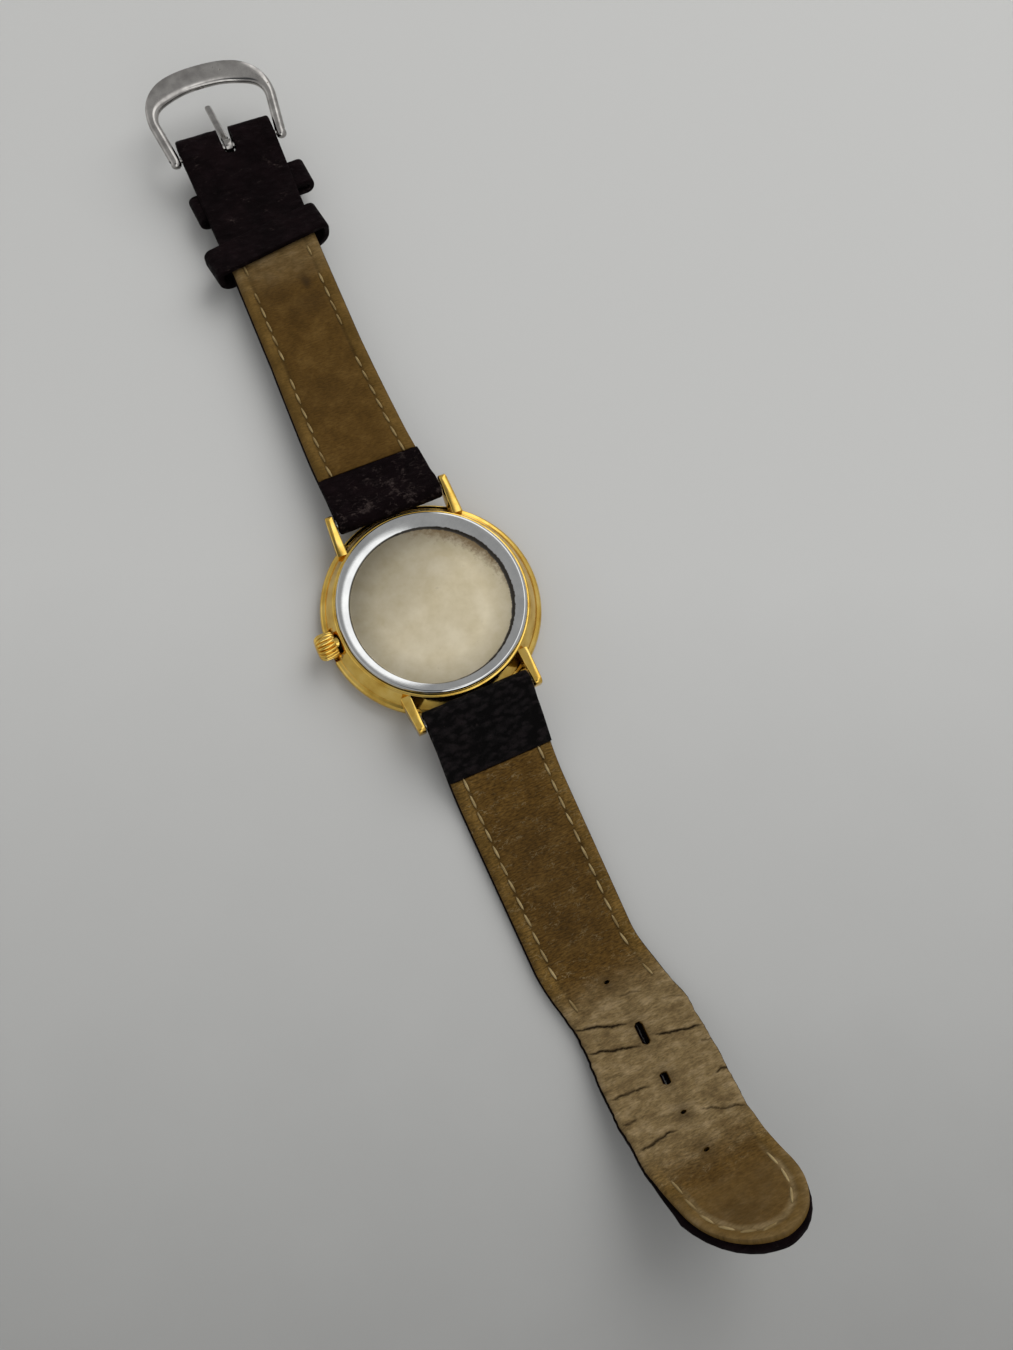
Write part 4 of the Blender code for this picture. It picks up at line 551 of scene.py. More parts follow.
def dark_leather(name, gloss, pebbled, low, high):
    """Dyed calf leather, grain side out: near-black 1 mm pebbles with painted shade in their hollows and
    creases, rubbed and scratched pale where handled.
    """
    look, tree, shader = start_look(name, IOR=1.42, Specular_IOR_Level=gloss)
    place = add(tree, "TexCoord").outputs["Object"]
    wear = add(tree, "Attribute", attribute_name="scuff").outputs["Fac"]
    # 4 mm clouds in the dye
    cloud = add(tree, "TexNoise", {"Vector": place, "Scale": 230.0, "Detail": 6.0, "Roughness": 0.65})
    tone = add(tree, "ValToRGB", [cloud], [(0.30, "#0B0607"), (0.52, "#120A0C"), (0.75, "#1A1012")])
    # 1 mm pebbles pulled out of round, with 0.3 mm creases between them
    sway = add(tree, "TexNoise", {"Vector": place, "Scale": 700.0, "Detail": 3.0}).outputs["Color"]
    bent = add(tree, "VectorMath", [sway, (0.0009, 0.0009, 0.0009), place], operation="MULTIPLY_ADD")
    pulled = add(tree, "Mapping",
                 {"Vector": bent, "Rotation": (0.0, 0.0, 0.4), "Scale": (0.65, 1.35, 1.0)})
    pebble = add(tree, "TexVoronoi", {"Vector": pulled, "Scale": 1000.0}, feature="SMOOTH_F1")
    crease = add(tree, "TexNoise", {"Vector": place, "Scale": 3200.0, "Detail": 6.0, "Roughness": 0.7})
    relief = add(tree, "Math", [crease, 0.7, pebble], operation="MULTIPLY_ADD")
    # Rubbed patches a few millimetres wide, broken up by the grain
    rub = add(tree, "TexNoise", {"Vector": place, "Scale": 420.0, "Detail": 9.0, "Roughness": 0.75})
    level = add(tree, "Math", [wear, 0.12, rub], operation="MULTIPLY_ADD")
    bare = add(tree, "MapRange", [level, 0.70, 0.90])
    # Scratches 0.1 mm wide, in loose groups
    drawn = add(tree, "Mapping",
                {"Vector": place, "Rotation": (0.0, 0.0, 0.35), "Scale": (420.0, 1100.0, 600.0)})
    hair = add(tree, "TexNoise", {"Vector": drawn, "Scale": 1.0, "Detail": 3.0})
    apart = add(tree, "Math", [hair, 0.5], operation="SUBTRACT")
    off = add(tree, "Math", [apart], operation="ABSOLUTE")
    line = add(tree, "MapRange", [off, 0.014, 0.004, 0.0, 0.7])
    spots = add(tree, "MapRange", [level, 0.61, 0.72])
    scratch = add(tree, "Math", [line, spots], operation="MULTIPLY")
    pale = add(tree, "Math", [bare, scratch], operation="MAXIMUM")
    # Painted shade: the dye is darkened in the pebbles' hollows and creases and a little lightened on their
    # crests, as far as the pebbled share asks
    hollow = add(tree, "MapRange", [relief, 0.35, 0.85, 1.1, 0.12])
    grained = add(tree, "Mix", [pebbled, tone, hollow], data_type="RGBA", blend_type="MULTIPLY")
    shown = add(tree, "Mix", [pale, grained, linear("#4E4340")], data_type="RGBA")
    shine = add(tree, "MapRange", [relief, 0.42, 0.88, low, high])
    bump = add(tree, "Bump", {"Height": relief, "Strength": 0.9, "Distance": 0.0004}, invert=True)
    wire(shader, {"Base Color": shown, "Roughness": shine, "Normal": bump})
    return look


def lining_leather():
    """Undyed lining leather, flesh side out: ochre browned by sweat, rims painted paler as a highlight,
    fibres where it wore, painted shade in the seam's groove.
    """
    look, tree, shader = start_look("tan_lining_leather", IOR=1.45, Specular_IOR_Level=0.1)
    across, along, rim, worn, crack, stain, nap = [
        add(tree, "Attribute", attribute_name=key).outputs["Fac"]
        for key in ("across", "along", "rim", "worn", "crack", "stain", "nap")]
    # Blotches 4 mm wide, wrinkles 1.5 mm wide and fibres 0.3 mm wide, all in the strap's own millimetres
    flat = add(tree, "CombineXYZ", {"X": across, "Y": along})
    blotch = add(tree, "TexNoise", {"Vector": flat, "Scale": 0.24, "Detail": 6.0, "Roughness": 0.62})
    combed = add(tree, "Mapping", {"Vector": flat, "Scale": (1.2, 4.2, 1.0)})
    fibre = add(tree, "TexNoise", {"Vector": combed, "Scale": 1.0, "Detail": 2.0, "Roughness": 0.65})
    pulled = add(tree, "Mapping", {"Vector": flat, "Scale": (0.3, 0.65, 1.0)})
    ripple = add(tree, "TexNoise", {"Vector": pulled, "Scale": 1.0, "Detail": 7.0, "Roughness": 0.62})
    middle = add(tree, "ValToRGB", [blotch], [(0.32, "#44300F"), (0.50, "#4F3916"), (0.68, "#5C4520")])
    # Painted highlight: within about 2 mm of the edge the rims are painted paler
    edge = add(tree, "ValToRGB", [blotch], [(0.30, "#4E3A16"), (0.55, "#604922"), (0.75, "#70572C")])
    painted_rim_highlight = add(tree, "MapRange", [rim, 2.6, 1.7])
    new = add(tree, "Mix", [painted_rim_highlight, middle, edge], data_type="RGBA")
    pale = add(tree, "ValToRGB", [ripple], [(0.32, "#5A492F"), (0.5, "#715F40"), (0.68, "#897657")])
    used = add(tree, "Mix", [worn, new, pale], data_type="RGBA")
    fibres = add(tree, "MapRange", [fibre, 0.30, 0.70, 0.48, 1.52])
    napped = add(tree, "Mix", [nap, used, fibres], data_type="RGBA", blend_type="MULTIPLY")
    # The needle's groove: painted shade darkens it between the stitches
    offset = add(tree, "Math", [rim, SEAM_AT], operation="SUBTRACT")
    aside = add(tree, "Math", [offset], operation="ABSOLUTE")
    groove = add(tree, "MapRange", [aside, 0.1, 0.45, 0.70, 1.0])
    sound = add(tree, "Math", [1.0, worn], operation="SUBTRACT")
    sewn = add(tree, "Mix", [sound, napped, groove], data_type="RGBA", blend_type="MULTIPLY")
    # Pale grazes 0.1 mm wide in the dark middle
    strewn = add(tree, "Mapping",
                 {"Vector": flat, "Rotation": (0.0, 0.0, 0.5), "Scale": (0.8, 1.7, 1.0)})
    graze = add(tree, "TexNoise", {"Vector": strewn, "Scale": 1.0, "Detail": 3.0})
    middle_of = add(tree, "Math", [graze, 0.5], operation="SUBTRACT")
    distance = add(tree, "Math", [middle_of], operation="ABSOLUTE")
    thin = add(tree, "MapRange", [distance, 0.026, 0.006])
    rough_spot = add(tree, "MapRange", [ripple, 0.50, 0.62, 0.0, 0.5])
    grazed = add(tree, "Math", [thin, rough_spot], operation="MULTIPLY")
    raised = add(tree, "MapRange", [nap, 0.5, 0.9])
    shown = add(tree, "Math", [grazed, raised], operation="MULTIPLY")
    rubbed = add(tree, "Mix", [shown, sewn, linear("#8F7E5C")], data_type="RGBA")
    spoiled = add(tree, "Mix", [stain, rubbed, linear("#2A1E0F")], data_type="RGBA")
    split = add(tree, "Mix", [crack, spoiled, linear("#1C130A")], data_type="RGBA")
    matt = add(tree, "MapRange", [blotch, 0.0, 1.0, 0.55, 0.85])
    relief = add(tree, "Math", [ripple, 1.5, fibre], operation="MULTIPLY_ADD")
    bump = add(tree, "Bump", {"Height": relief, "Strength": 0.4, "Distance": 0.00014})
    wire(shader, {"Base Color": split, "Roughness": matt, "Normal": bump})
    return look


def thread(name, shade, pale):
    """Waxed linen thread: twisted strands 0.15 mm wide, soiled in places."""
    look, tree, shader = start_look(name, Roughness=0.75, Specular_IOR_Level=0.2)
    place = add(tree, "TexCoord").outputs["Object"]
    soil = add(tree, "TexNoise", {"Vector": place, "Scale": 350.0, "Detail": 5.0})
    tone = add(tree, "ValToRGB", [soil], [(0.35, shade), (0.62, pale)])
    twist = add(tree, "TexNoise", {"Vector": place, "Scale": 6500.0, "Detail": 2.0})
    bump = add(tree, "Bump", {"Height": twist, "Strength": 0.4, "Distance": 0.00008})
    wire(shader, {"Base Color": tone, "Normal": bump})
    return look


def plain_look(name, dark, pale, size_mm, metallic, low, high, bump_depth, **sockets):
    """A moulded, rolled or lacquered surface: two close tones and a fine texture of one size."""
    look, tree, shader = start_look(name, Metallic=metallic, **sockets)
    place = add(tree, "TexCoord").outputs["Object"]
    cloud = add(tree, "TexNoise", {"Vector": place, "Scale": 1000.0 / size_mm, "Detail": 5.0})
    tone = add(tree, "ValToRGB", [cloud], [(0.35, dark), (0.65, pale)])
    spread = add(tree, "MapRange", [cloud, 0.3, 0.7, low, high])
    bump = add(tree, "Bump", {"Height": cloud, "Strength": 0.15, "Distance": bump_depth * MM})
    wire(shader, {"Base Color": tone, "Roughness": spread, "Normal": bump})
    return look


def stage_paper():
    """Matt pale grey paper: even in itself, with painted shade darkening it towards the lower left, and faint
    flecks.
    """
    look, tree, shader = start_look("pale_grey_paper", Roughness=0.7)
    place = add(tree, "TexCoord").outputs["Object"]
    # Painted shade: the paper is painted darker towards the lower left
    painted_shade_slope = add(tree, "VectorMath", [place, (-3.0, -7.0, 0.0)], operation="DOT_PRODUCT")
    fleck = add(tree, "TexNoise", {"Vector": place, "Scale": 60.0, "Detail": 6.0})
    flecks_and_painted_shade = add(tree, "Math", [fleck, 0.10, painted_shade_slope], operation="MULTIPLY_ADD")
    tone = add(tree, "ValToRGB", [flecks_and_painted_shade], [(0.0, "#BFBFBD"), (0.5, "#ADADAB"), (1.0, "#8B8B89")])
    wire(shader, {"Base Color": tone})
    return look


# Polished plate, satin and polished steel: warm and cool mirrors with fine wear
GOLD = gold_plate()
BACK_STEEL = back_steel()
BUCKLE_STEEL = bright_steel("polished_buckle_steel", "#8E8B88", "#B4B1AD", 0.09)
WORKS_STEEL = bright_steel("turned_works_steel", "#A9A9A6", "#C4C4C1", 0.24)
# The pebbled end kept its finish and takes the full painted shade in its hollows, the smoother faces are
# rubbed dull and take less of it
LEATHER = dark_leather("rubbed_dark_leather", 0.05, 0.3, 0.45, 0.7)
PEBBLED_LEATHER = dark_leather("pebbled_dark_leather", 0.19, 1.0, 0.26, 0.95)
LINING = lining_leather()
# Linen, clean at the tip, soiled beside the buckle and dyed on the face
CREAM_THREAD = thread("cream_linen_thread", "#76633F", "#A08D64")
SOILED_THREAD = thread("soiled_linen_thread", "#685430", "#98845A")
DARK_THREAD = thread("dark_linen_thread", "#17100E", "#2A1F1B")
# Rolled brass, machined: a dull yellow mirror
BRASS = plain_look("machined_brass", "#B08D4A", "#C9A763", 0.5, 1.0, 0.24, 0.36, 0.01)
# Ground mineral glass: clear, with faint smears from wiping
GLASS = plain_look("ground_mineral_glass", "#EEF4F2", "#FBFFFE", 4.0, 0.0, 0.0, 0.05, 0.001, IOR=1.52,
                   Transmission_Weight=1.0)
# Moulded rubber: matte black with a soft bloom
RUBBER = plain_look("moulded_nitrile_rubber", "#0D0D0D", "#191818", 0.4, 0.0, 0.7, 0.85, 0.02)
# Moulded nylon: milky and satin
NYLON = plain_look("moulded_white_nylon", "#D8D7CE", "#E7E6DF", 0.6, 0.0, 0.35, 0.5, 0.01)
# Lacquered dial: warm ivory with a fine eggshell grain
IVORY = plain_look("ivory_dial_lacquer", "#DDD4BA", "#E9E2CC", 1.5, 0.0, 0.28, 0.4, 0.005, Coat_Weight=0.3)
# Glass-fibre board under green solder mask
BOARD = plain_look("green_circuit_board", "#0D3A22", "#17512F", 0.5, 0.0, 0.35, 0.5, 0.01)
# Cast epoxy: glossy black blob
RESIN = plain_look("black_epoxy_resin", "#08080A", "#141416", 0.8, 0.0, 0.12, 0.25, 0.02)
# Enamelled copper winding: turns 0.1 mm apart
COPPER = plain_look("enamelled_copper_wire", "#8A3F1C", "#B5602F", 0.1, 1.0, 0.25, 0.4, 0.04)
# Moulded acetal: an even mid grey with a dull moulding skin
GREY_PLASTIC = plain_look("grey_acetal", "#55565A", "#66676B", 0.5, 0.0, 0.5, 0.65, 0.01)

SLOT_LOOKS = {
    "gold_plate": GOLD, "polished_steel": WORKS_STEEL, "movement_brass": BRASS, "mineral_glass": GLASS,
    "black_rubber": RUBBER, "white_nylon": NYLON, "ivory_dial": IVORY, "circuit_board": BOARD,
    "black_resin": RESIN, "copper_wire": COPPER, "grey_plastic": GREY_PLASTIC, "dark_leather": LEATHER,
    "tan_lining": LINING,
}


def dress_works():
    """Gives each solid that stays its own material."""
    for part in frame["record"]["subparts"]:
        node = frame["nodes"][part["node"]]
        for slot in node.material_slots:
            slot.material = SLOT_LOOKS[part["material_slot"]]


# Strap lines, by the distance from the spring bar
def short_line(u):
    z = ease(Z_BAR, Z_SHORT, u / LAY_DOWN)
    z += ease(0.0, BUCKLE_RISE, (u - SHORT_L + BUCKLE_RISE_L) / BUCKLE_RISE_L)
    return Vector((BAR_Y + u, z))


def long_line(u):
    if u <= LONG_FLAT_L:
        return Vector((-BAR_Y - u, ease(Z_BAR, Z_LONG, u / LONG_LAY_DOWN)))
    angle = (u - LONG_FLAT_L) / CURL_R
    y = -BAR_Y - LONG_FLAT_L - CURL_R * math.sin(angle)
    return Vector((y, Z_LONG + CURL_R * (1 - math.cos(angle))))


def frame_at(line, u):
    """Direction along a strap line and its normal towards the lining."""
    along = (line(u + 0.05) - line(u - 0.05)).normalized()
    normal = Vector((-along.y, along.x))
    if normal.y < 0:
        normal.negate()
    return along, normal


def above(line, u, height):
    """A place at a height over a strap line."""
    return line(u) + frame_at(line, u)[1] * height


def short_width(u):
    width = LUG_STRAP_W + (SHORT_WAIST_W - LUG_STRAP_W) * min(u / SHORT_TAPER_L, 1.0)
    spread = (u - SHORT_L + BUCKLE_SPREAD_L) / BUCKLE_SPREAD_L
    return width + ease(0.0, BUCKLE_STRAP_W - SHORT_WAIST_W, spread)


def short_shift(u):
    back = (u - SWAY_L) / (SHORT_L - SWAY_L)
    return ease(0.0, SHORT_SWAY, u / SWAY_L) + ease(0.0, BUCKLE_X - SHORT_SWAY, back)


def long_body_width(u):
    width = LUG_STRAP_W + (MID_STRAP_W - LUG_STRAP_W) * min(u / SHIFT_FROM, 1.0)
    width += ease(0.0, WORN_STRAP_W - MID_STRAP_W, (u - SHIFT_FROM) / (WORN_AT - SHIFT_FROM))
    return width + ease(0.0, TAIL_STRAP_W - WORN_STRAP_W, (u - WORN_AT) / (TAIL_AT - WORN_AT))


def tip_width(u, length):
    """The long half's width, rounded off over a length at its tip."""
    tip = (u - LONG_L + TIP_L) / length
    return long_body_width(u) * (math.sqrt(max(1 - tip * tip, 0.0)) if tip > 0 else 1.0)


def long_width(u):
    return tip_width(u, TIP_L)


def long_shift(u):
    shift_x = ease(0.0, LONG_SWAY, u / SWAY_L)
    shift_x += ease(0.0, SIDE_SHIFT, (u - SHIFT_FROM) / (SHIFT_TO - SHIFT_FROM))
    return shift_x + TIP_SHIFT * max((u - LONG_L) / TIP_SHIFT_L + 1, 0.0) ** 1.5


def worn_zone(u):
    """How far the tail is worn pale."""
    return rise(u, WORN_FROM, WORN_RAMP) * (1 - rise(u, WORN_TO, WORN_FADE))


def tip_wear_and_highlight(rim, u):
    """How pale the tail's tip is: worn a little all over, more on its rim, where it is partly a painted
    highlight, and most along the seam.
    """
    return rise(u, TIP_WORN_FROM, TIP_WORN_RAMP) * max(0.2, 0.5 * bell(rim, 1.5), bell(rim - 2.2, 0.5))


def ragged(u, side, tail):
    """How far the tail's worn edge is nibbled back."""
    if not tail:
        return 0.0
    return 0.22 * worn_zone(u) * (1 + grain(u * 0.45, side * 7.3) + 0.6 * grain(u * 1.5, side * 3.1))


def rim_distance(x, u, width, tail):
    """Distance in from the strap's outline, which rounds off at the tail's tip."""
    tip = (u - LONG_L + TIP_L) / TIP_L if tail else 0.0
    if tip <= 0:
        return width(u) / 2 - abs(x)
    half = long_body_width(u) / 2
    return (1 - math.hypot(x / half, tip)) * (half + TIP_L) / 2


def columns_across(count, power):
    """Places from -1 to 1 across a strap, closer together towards its edges."""
    even = [-1 + 2 * k / (count - 1) for k in range(count)]
    return [math.copysign(1 - (1 - abs(t)) ** power, t) for t in even]


# Outer leather
def outer_route(line, length, fold, loop=None):
    """The outer leather's middle line: folded end, spring bar, the run, and on one half the buckle bar.

    Each point has its place, its distance along the strap and how far it lies on a folded end.
    """
    half = (LAYER_GAP + LEATHER_T) / 2
    radius = BAR_R + LEATHER_FIT + LEATHER_T / 2
    route = [(above(line, u, half), u, 1.0) for u in steps(fold, FOLD_RUN, 0.3)]
    along, normal = frame_at(line, 0.0)
    for angle in steps(FOLD_TURN, -FOLD_TURN, math.radians(8)):
        place = line(0.0) + (-along * math.cos(angle) + normal * math.sin(angle)) * radius
        route.append((place, 0.0, 0.5 + 0.5 * math.sin(angle)))
    run_end = length - FOLD_RUN if loop else length
    route += [(above(line, u, -half), u, 0.0) for u in steps(FOLD_RUN, run_end, 0.5)]
    if loop:
        bar = line(length)
        radius, slack, back = loop
        along, normal = frame_at(line, length)
        route.append((bar - normal * radius, length, 0.0))
        for angle in steps(-math.pi / 2, math.pi / 2, math.radians(8)):
            place = bar + along * slack + (along * math.cos(angle) + normal * math.sin(angle)) * radius
            route.append((place, length, 0.5 + 0.5 * math.sin(angle)))
        route.append((bar + normal * radius, length, 1.0))
        route += [(above(line, u, half), u, 1.0) for u in steps(length - FOLD_RUN, length - back, 0.3)]
    return route


def smooth_route(route):
    """Eases the bends where a fold meets its run."""
    places = [p for p, u, f in route]
    for _ in range(3):
        eased = [(a + b * 2 + c) / 4 for a, b, c in zip(places, places[1:], places[2:])]
        places = [places[0]] + eased + [places[-1]]
    return [(p, u, f) for p, (_, u, f) in zip(places, route)]


def leather_band(name, route, width, shift_of, scuff_of, sunk_of, tail):
    """The outer leather as one closed band with rounded edges and a grained face."""
    rings = []
    scuffs = []
    pebbles = []
    last = len(route) - 1
    columns = columns_across(56, 1.5)
    for i, (place, u, folded) in enumerate(route):
        along = (route[min(i + 1, last)][0] - route[max(i - 1, 0)][0]).normalized()
        normal = Vector((-along.y, along.x))
        half_t = LEATHER_T / 2 * THIN_ENDS[min(i, last - i, 3)]
        half_w = width(u) / 2
        left = half_w - ragged(u, -1, tail)
        right = half_w - ragged(u, 1, tail)
        ring = []
        for side in (1, -1):
            for column in columns:
                t = column * side
                x = t * (right if t > 0 else left)
                inset = max(half_w - abs(x), 0.0)
                round_off = math.sqrt(max(1 - (1 - min(inset / LEATHER_EDGE, 1.0)) ** 2, 0.0))
                height = half_t * (0.25 + 0.75 * round_off)
                height -= FACE_GRAIN * (1 + grain(x * 0.9, place.x * 0.9, side * 9.0 + place.y)) * round_off
                if side < 0:
                    height -= sunk_of(x, u, folded) * round_off
                spot = place + normal * height * side
                ring.append((shift_of(u) + x, spot.x, spot.y))
                scuffs.append(scuff_of(x, u, folded))
                pebbles.append(tail and folded > 0.5)
        rings.append(ring)
    made = solid(name, *skin(rings), LEATHER, 55)
    keep_attribute(made, "scuff", scuffs)
    made.data.materials.append(PEBBLED_LEATHER)
    for face in made.data.polygons:
        face.material_index = int(all(pebbles[i] for i in face.vertices))
    return made


def short_scuff(x, u, folded):
    """The fold at the lugs is rubbed, most on one spot near its end."""
    if folded > 0.2 and u < 12:
        return 0.8 + 0.4 * ease(0, 1, (7 - u) / 5) + 0.9 * bell(x - 0.4, 1.4) * bell(u - 5.4, 1.1)
    return 0.5


def long_scuff(x, u, folded):
    return 0.05 if folded > 0.1 else 0.3 + 0.5 * worn_zone(u)


def short_sunk(x, u, folded):
    """The crease across the flap, just below the buckle's loop."""
    if folded <= 0.9 or u <= SHORT_L / 2:
        return 0.0
    return CREASE_DEPTH * bell(u - (CREASE_AT + 0.25 * grain(x * 0.3, 5.0)), 0.9)


def long_sunk(x, u, folded):
    """Pebbled grain on the folded end, 1.2 mm across."""
    if folded < 0.6:
        return 0.0
    spread = noise.voronoi(Vector((x / 1.3 + 0.3 * grain(x, u), u / 1.1, 3.0)))[0]
    return PEBBLE_DEPTH * min(spread[0], 0.8)


# Lining
CRACKS = (
    # From across and along, to across and along, depth
    (-8.8, 49.3, -0.7, 52.1, 1.0), (0.9, 54.7, 8.9, 56.9, 1.0), (-9.0, 53.0, -0.8, 55.6, 1.0),
    (-8.9, 60.0, -2.2, 60.9, 0.8), (6.6, 63.2, 9.1, 63.4, 0.8), (1.9, 66.6, 8.7, 69.2, 0.65),
    (-8.5, 67.9, -1.7, 67.5, 0.9), (0.0, 47.7, 3.5, 48.7, 0.4), (-8.7, 63.5, -6.0, 64.0, 0.6),
    (4.8, 50.8, 8.5, 51.9, 0.3), (-8.6, 57.2, -4.6, 58.0, 0.3), (-5.0, 64.9, -1.0, 65.6, 0.3),
    (6.9, 58.6, 9.0, 59.0, 0.5),
)
STAINS = (
    # Along, across, half width across, half length along, darkness
    (42.2, 3.0, 0.9, 1.4, 0.75), (41.0, -3.0, 4.0, 2.4, 0.28), (38.5, 2.0, 5.0, 2.6, 0.3),
    (22.0, -2.0, 5.0, 4.0, 0.12),
)


def crack_at(x, u):
    """How deep a split across the worn leather is here, from 0 to 1."""
    deepest = 0.0
    for x0, u0, x1, u1, depth in CRACKS:
        if x0 <= x <= x1 and min(u0, u1) - 1 < u < max(u0, u1) + 1:
            t = (x - x0) / (x1 - x0)
            line = u0 + (u1 - u0) * t + 0.35 * grain(x * 0.7, u0) + 0.15 * grain(x * 2.4, u0 * 3)
            wide = (0.09 + 0.09 * math.sin(math.pi * t)) * (0.6 + 0.4 * depth)
            wide *= 1 + 0.5 * grain(x * 1.8, u0 * 2)
            deepest = max(deepest, depth * bell(u - line, wide) * min(1, 5 * t, 5 * (1 - t)))
    return deepest


def stain_at(x, u, tail):
    """How dark the lining is stained: on the tail along its middle and round the holes, else in spots."""
    if not tail:
        return max(dark * bell(x - cx, wide) * bell(u - cu, long) for cu, cx, wide, long, dark in STAINS)
    dark = 0.25 * rise(u, 14, 8) * (1 - rise(u, 38, 6)) * ease(0, 1, 1.25 - abs(x) / 7)
    for at, stretch in HOLES:
        dark = max(dark, 0.55 * bell(x, 1.3) * bell(u - at - stretch / 2, 1.5 + stretch / 2))
    return dark


def lining_band(name, line, width, shift_of, run, tail):
    """The lining as one closed sheet: rolled rims, a sunk seam, cracks and ripples where it was buckled."""
    rings = []
    marks = []
    low = LAYER_GAP / 2
    columns = columns_across(72, 1.25)
    for i, u in enumerate(run):
        place = line(u)
        normal = frame_at(line, u)[1]
        drop = 0.0 if tail and i > 2 else LINING_ENDS[min(i, len(run) - 1 - i, 2)]
        half_w = (tip_width(u, TIP_L - TIP_BARE) if tail else width(u)) / 2 - LINING_IN
        shift = shift_of(u)
        zone = 0.0
        combed = 0.45
        if tail:
            half_w -= 0.25 * rise(u, TIP_CUT_FROM, 9)
            shift += TIP_ASIDE * rise(u, TIP_CUT_FROM, 12)
            zone = worn_zone(u)
            combed = (1 - 0.65 * rise(u, TIP_WORN_FROM, TIP_WORN_RAMP)) * (1 - 0.4 * zone)
        left = max(half_w - ragged(u, -1, tail), 0.03)
        right = max(half_w - ragged(u, 1, tail), 0.03)
        top = []
        bottom = []
        for t in columns:
            x = t * (right if t > 0 else left)
            rim = max(rim_distance(x, u, width, tail) - LINING_IN, 0.0)
            split = crack_at(x, u) if tail else 0.0
            height = low + LINING_T
            height -= RIM_ROLL * (1 - min(rim / RIM_ROLL_W, 1.0)) ** 2
            height -= SEAM_GROOVE * bell(rim - SEAM_AT, SEAM_GROOVE_W) * (1 - 0.6 * zone)
            height -= LINING_WAVE * (1 + grain(x * 0.35, u * 0.3, 4.0))
            height -= zone * LINING_RIPPLE * (1 + grain(x * 0.25, u * 0.6, 8.0)) + CRACK_DEPTH * split
            height = max(height - drop, low + LINING_LEAST)
            spot = place + normal * height
            foot = place + normal * low
            # On the tail's tip the paleness includes a painted highlight along the rim
            worn = max(zone, tip_wear_and_highlight(rim, u)) if tail else 0.5 * rise(u, 41, 7)
            top.append(((shift + x, *spot), (x, u, rim, worn, split, stain_at(x, u, tail), combed)))
            bottom.append(((shift + x, *foot), (x, u, rim, zone, 0.0, 0.0, 0.5)))
        ring = top + bottom[::-1]
        rings.append([point for point, mark in ring])
        marks += [mark for point, mark in ring]
    made = solid(name, *skin(rings), LINING, 50)
    for key, values in zip(("across", "along", "rim", "worn", "crack", "stain", "nap"), zip(*marks)):
        keep_attribute(made, key, values)
    return made


def punch_holes(outer, lining):
    """Five holes, the two most used drawn out towards the tail; the outer leather has closed up to slits."""
    for layer, wide in ((outer, 0.25), (lining, 1.05)):
        for at, stretch in HOLES:
            size, reach = (0.75, 1.0) if stretch else (0.5, 0.62)
            along, normal = frame_at(long_line, at)
            middle = long_line(at)
            rings = []
            for height in (-2.6, 2.6):
                ring = []
                for c, s in circle(1.0, 28):
                    radius = HOLE_R * size * (1 + 0.2 * grain(3 * c, 3 * s, at))
                    drawn = radius * s + (stretch if s > 0 else 0.0)
                    spot = middle + along * drawn * reach + normal * height
                    ring.append((long_shift(at) + radius * c * wide, spot.x, spot.y))
                rings.append(ring)
            combine(layer, "DIFFERENCE", solid("punch", *skin(rings), LINING))
        crisp(layer, 50)


def make_straps():
    loop = (BUCKLE_BAR_R + LEATHER_FIT + LEATHER_T / 2, BUCKLE_LOOP_SLACK, BUCKLE_FOLD)
    route = smooth_route(outer_route(short_line, SHORT_L, SHORT_FOLD, loop))
    outer = leather_band("short_strap_leather", route, short_width, short_shift, short_scuff, short_sunk,
                         False)
    half = SLOT_W / 2
    slot = box_outline(BUCKLE_X - half, BUCKLE_X + half, BUCKLE_Y - SLOT_BACK, BUCKLE_Y + SLOT_AHEAD)
    combine(outer, "DIFFERENCE", upright("slot", rounded(slot, (1.0, 1.0, 0.0, 0.0)), 2.0, 12.0))
    crisp(outer, 55)
    place_piece(outer, "short_strap", "dark_leather", "short_strap_outer")
    run = steps(SHORT_FOLD + END_GAP, SHORT_L - BUCKLE_FOLD - END_GAP, 0.35)
    lining = lining_band("short_strap_inner_leather", short_line, short_width, short_shift, run, False)
    place_piece(lining, "short_strap", "tan_lining", "short_strap_lining")

    tip_from = LONG_L - TIP_L
    route = outer_route(long_line, tip_from, LONG_FOLD)
    for t in (0.25, 0.45, 0.62, 0.75, 0.85, 0.92, 0.97, 0.99, 0.9975):
        u = LONG_L - TIP_L * (1 - t)
        route.append((above(long_line, u, -(LAYER_GAP + LEATHER_T) / 2), u, 0.0))
    route = smooth_route(route)
    outer = leather_band("long_strap_leather", route, long_width, long_shift, long_scuff, long_sunk, True)
    # Finer steps where the cracks are, and a round tip
    run = steps(LONG_FOLD + END_GAP, WORN_FROM, 0.35)[:-1] + steps(WORN_FROM, TIP_WORN_FROM, 0.11)[:-1]
    run += steps(TIP_WORN_FROM, tip_from, 0.35)
    run += [tip_from + (TIP_L - TIP_BARE) * t for t in np.sin(np.linspace(0, 1, 48)[1:-1] * math.pi / 2)]
    lining = lining_band("long_strap_inner_leather", long_line, long_width, long_shift, run, True)
    punch_holes(outer, lining)
    place_piece(outer, "long_strap", "dark_leather", "long_strap_outer")
    place_piece(lining, "long_strap", "tan_lining", "long_strap_lining")


# Stitches
def new_tree(name, output, **inputs):
    """A Geometry Nodes tree with named inputs and one output, and its group input's sockets."""
    tree = bpy.data.node_groups.new(name, "GeometryNodeTree")
    for key, kind in inputs.items():
        tree.interface.new_socket(key.replace("_", " "), in_out="INPUT", socket_type="NodeSocket" + kind)
    tree.interface.new_socket(output, in_out="OUTPUT", socket_type="NodeSocketGeometry")
    return tree, add(tree, "NodeGroupInput").outputs


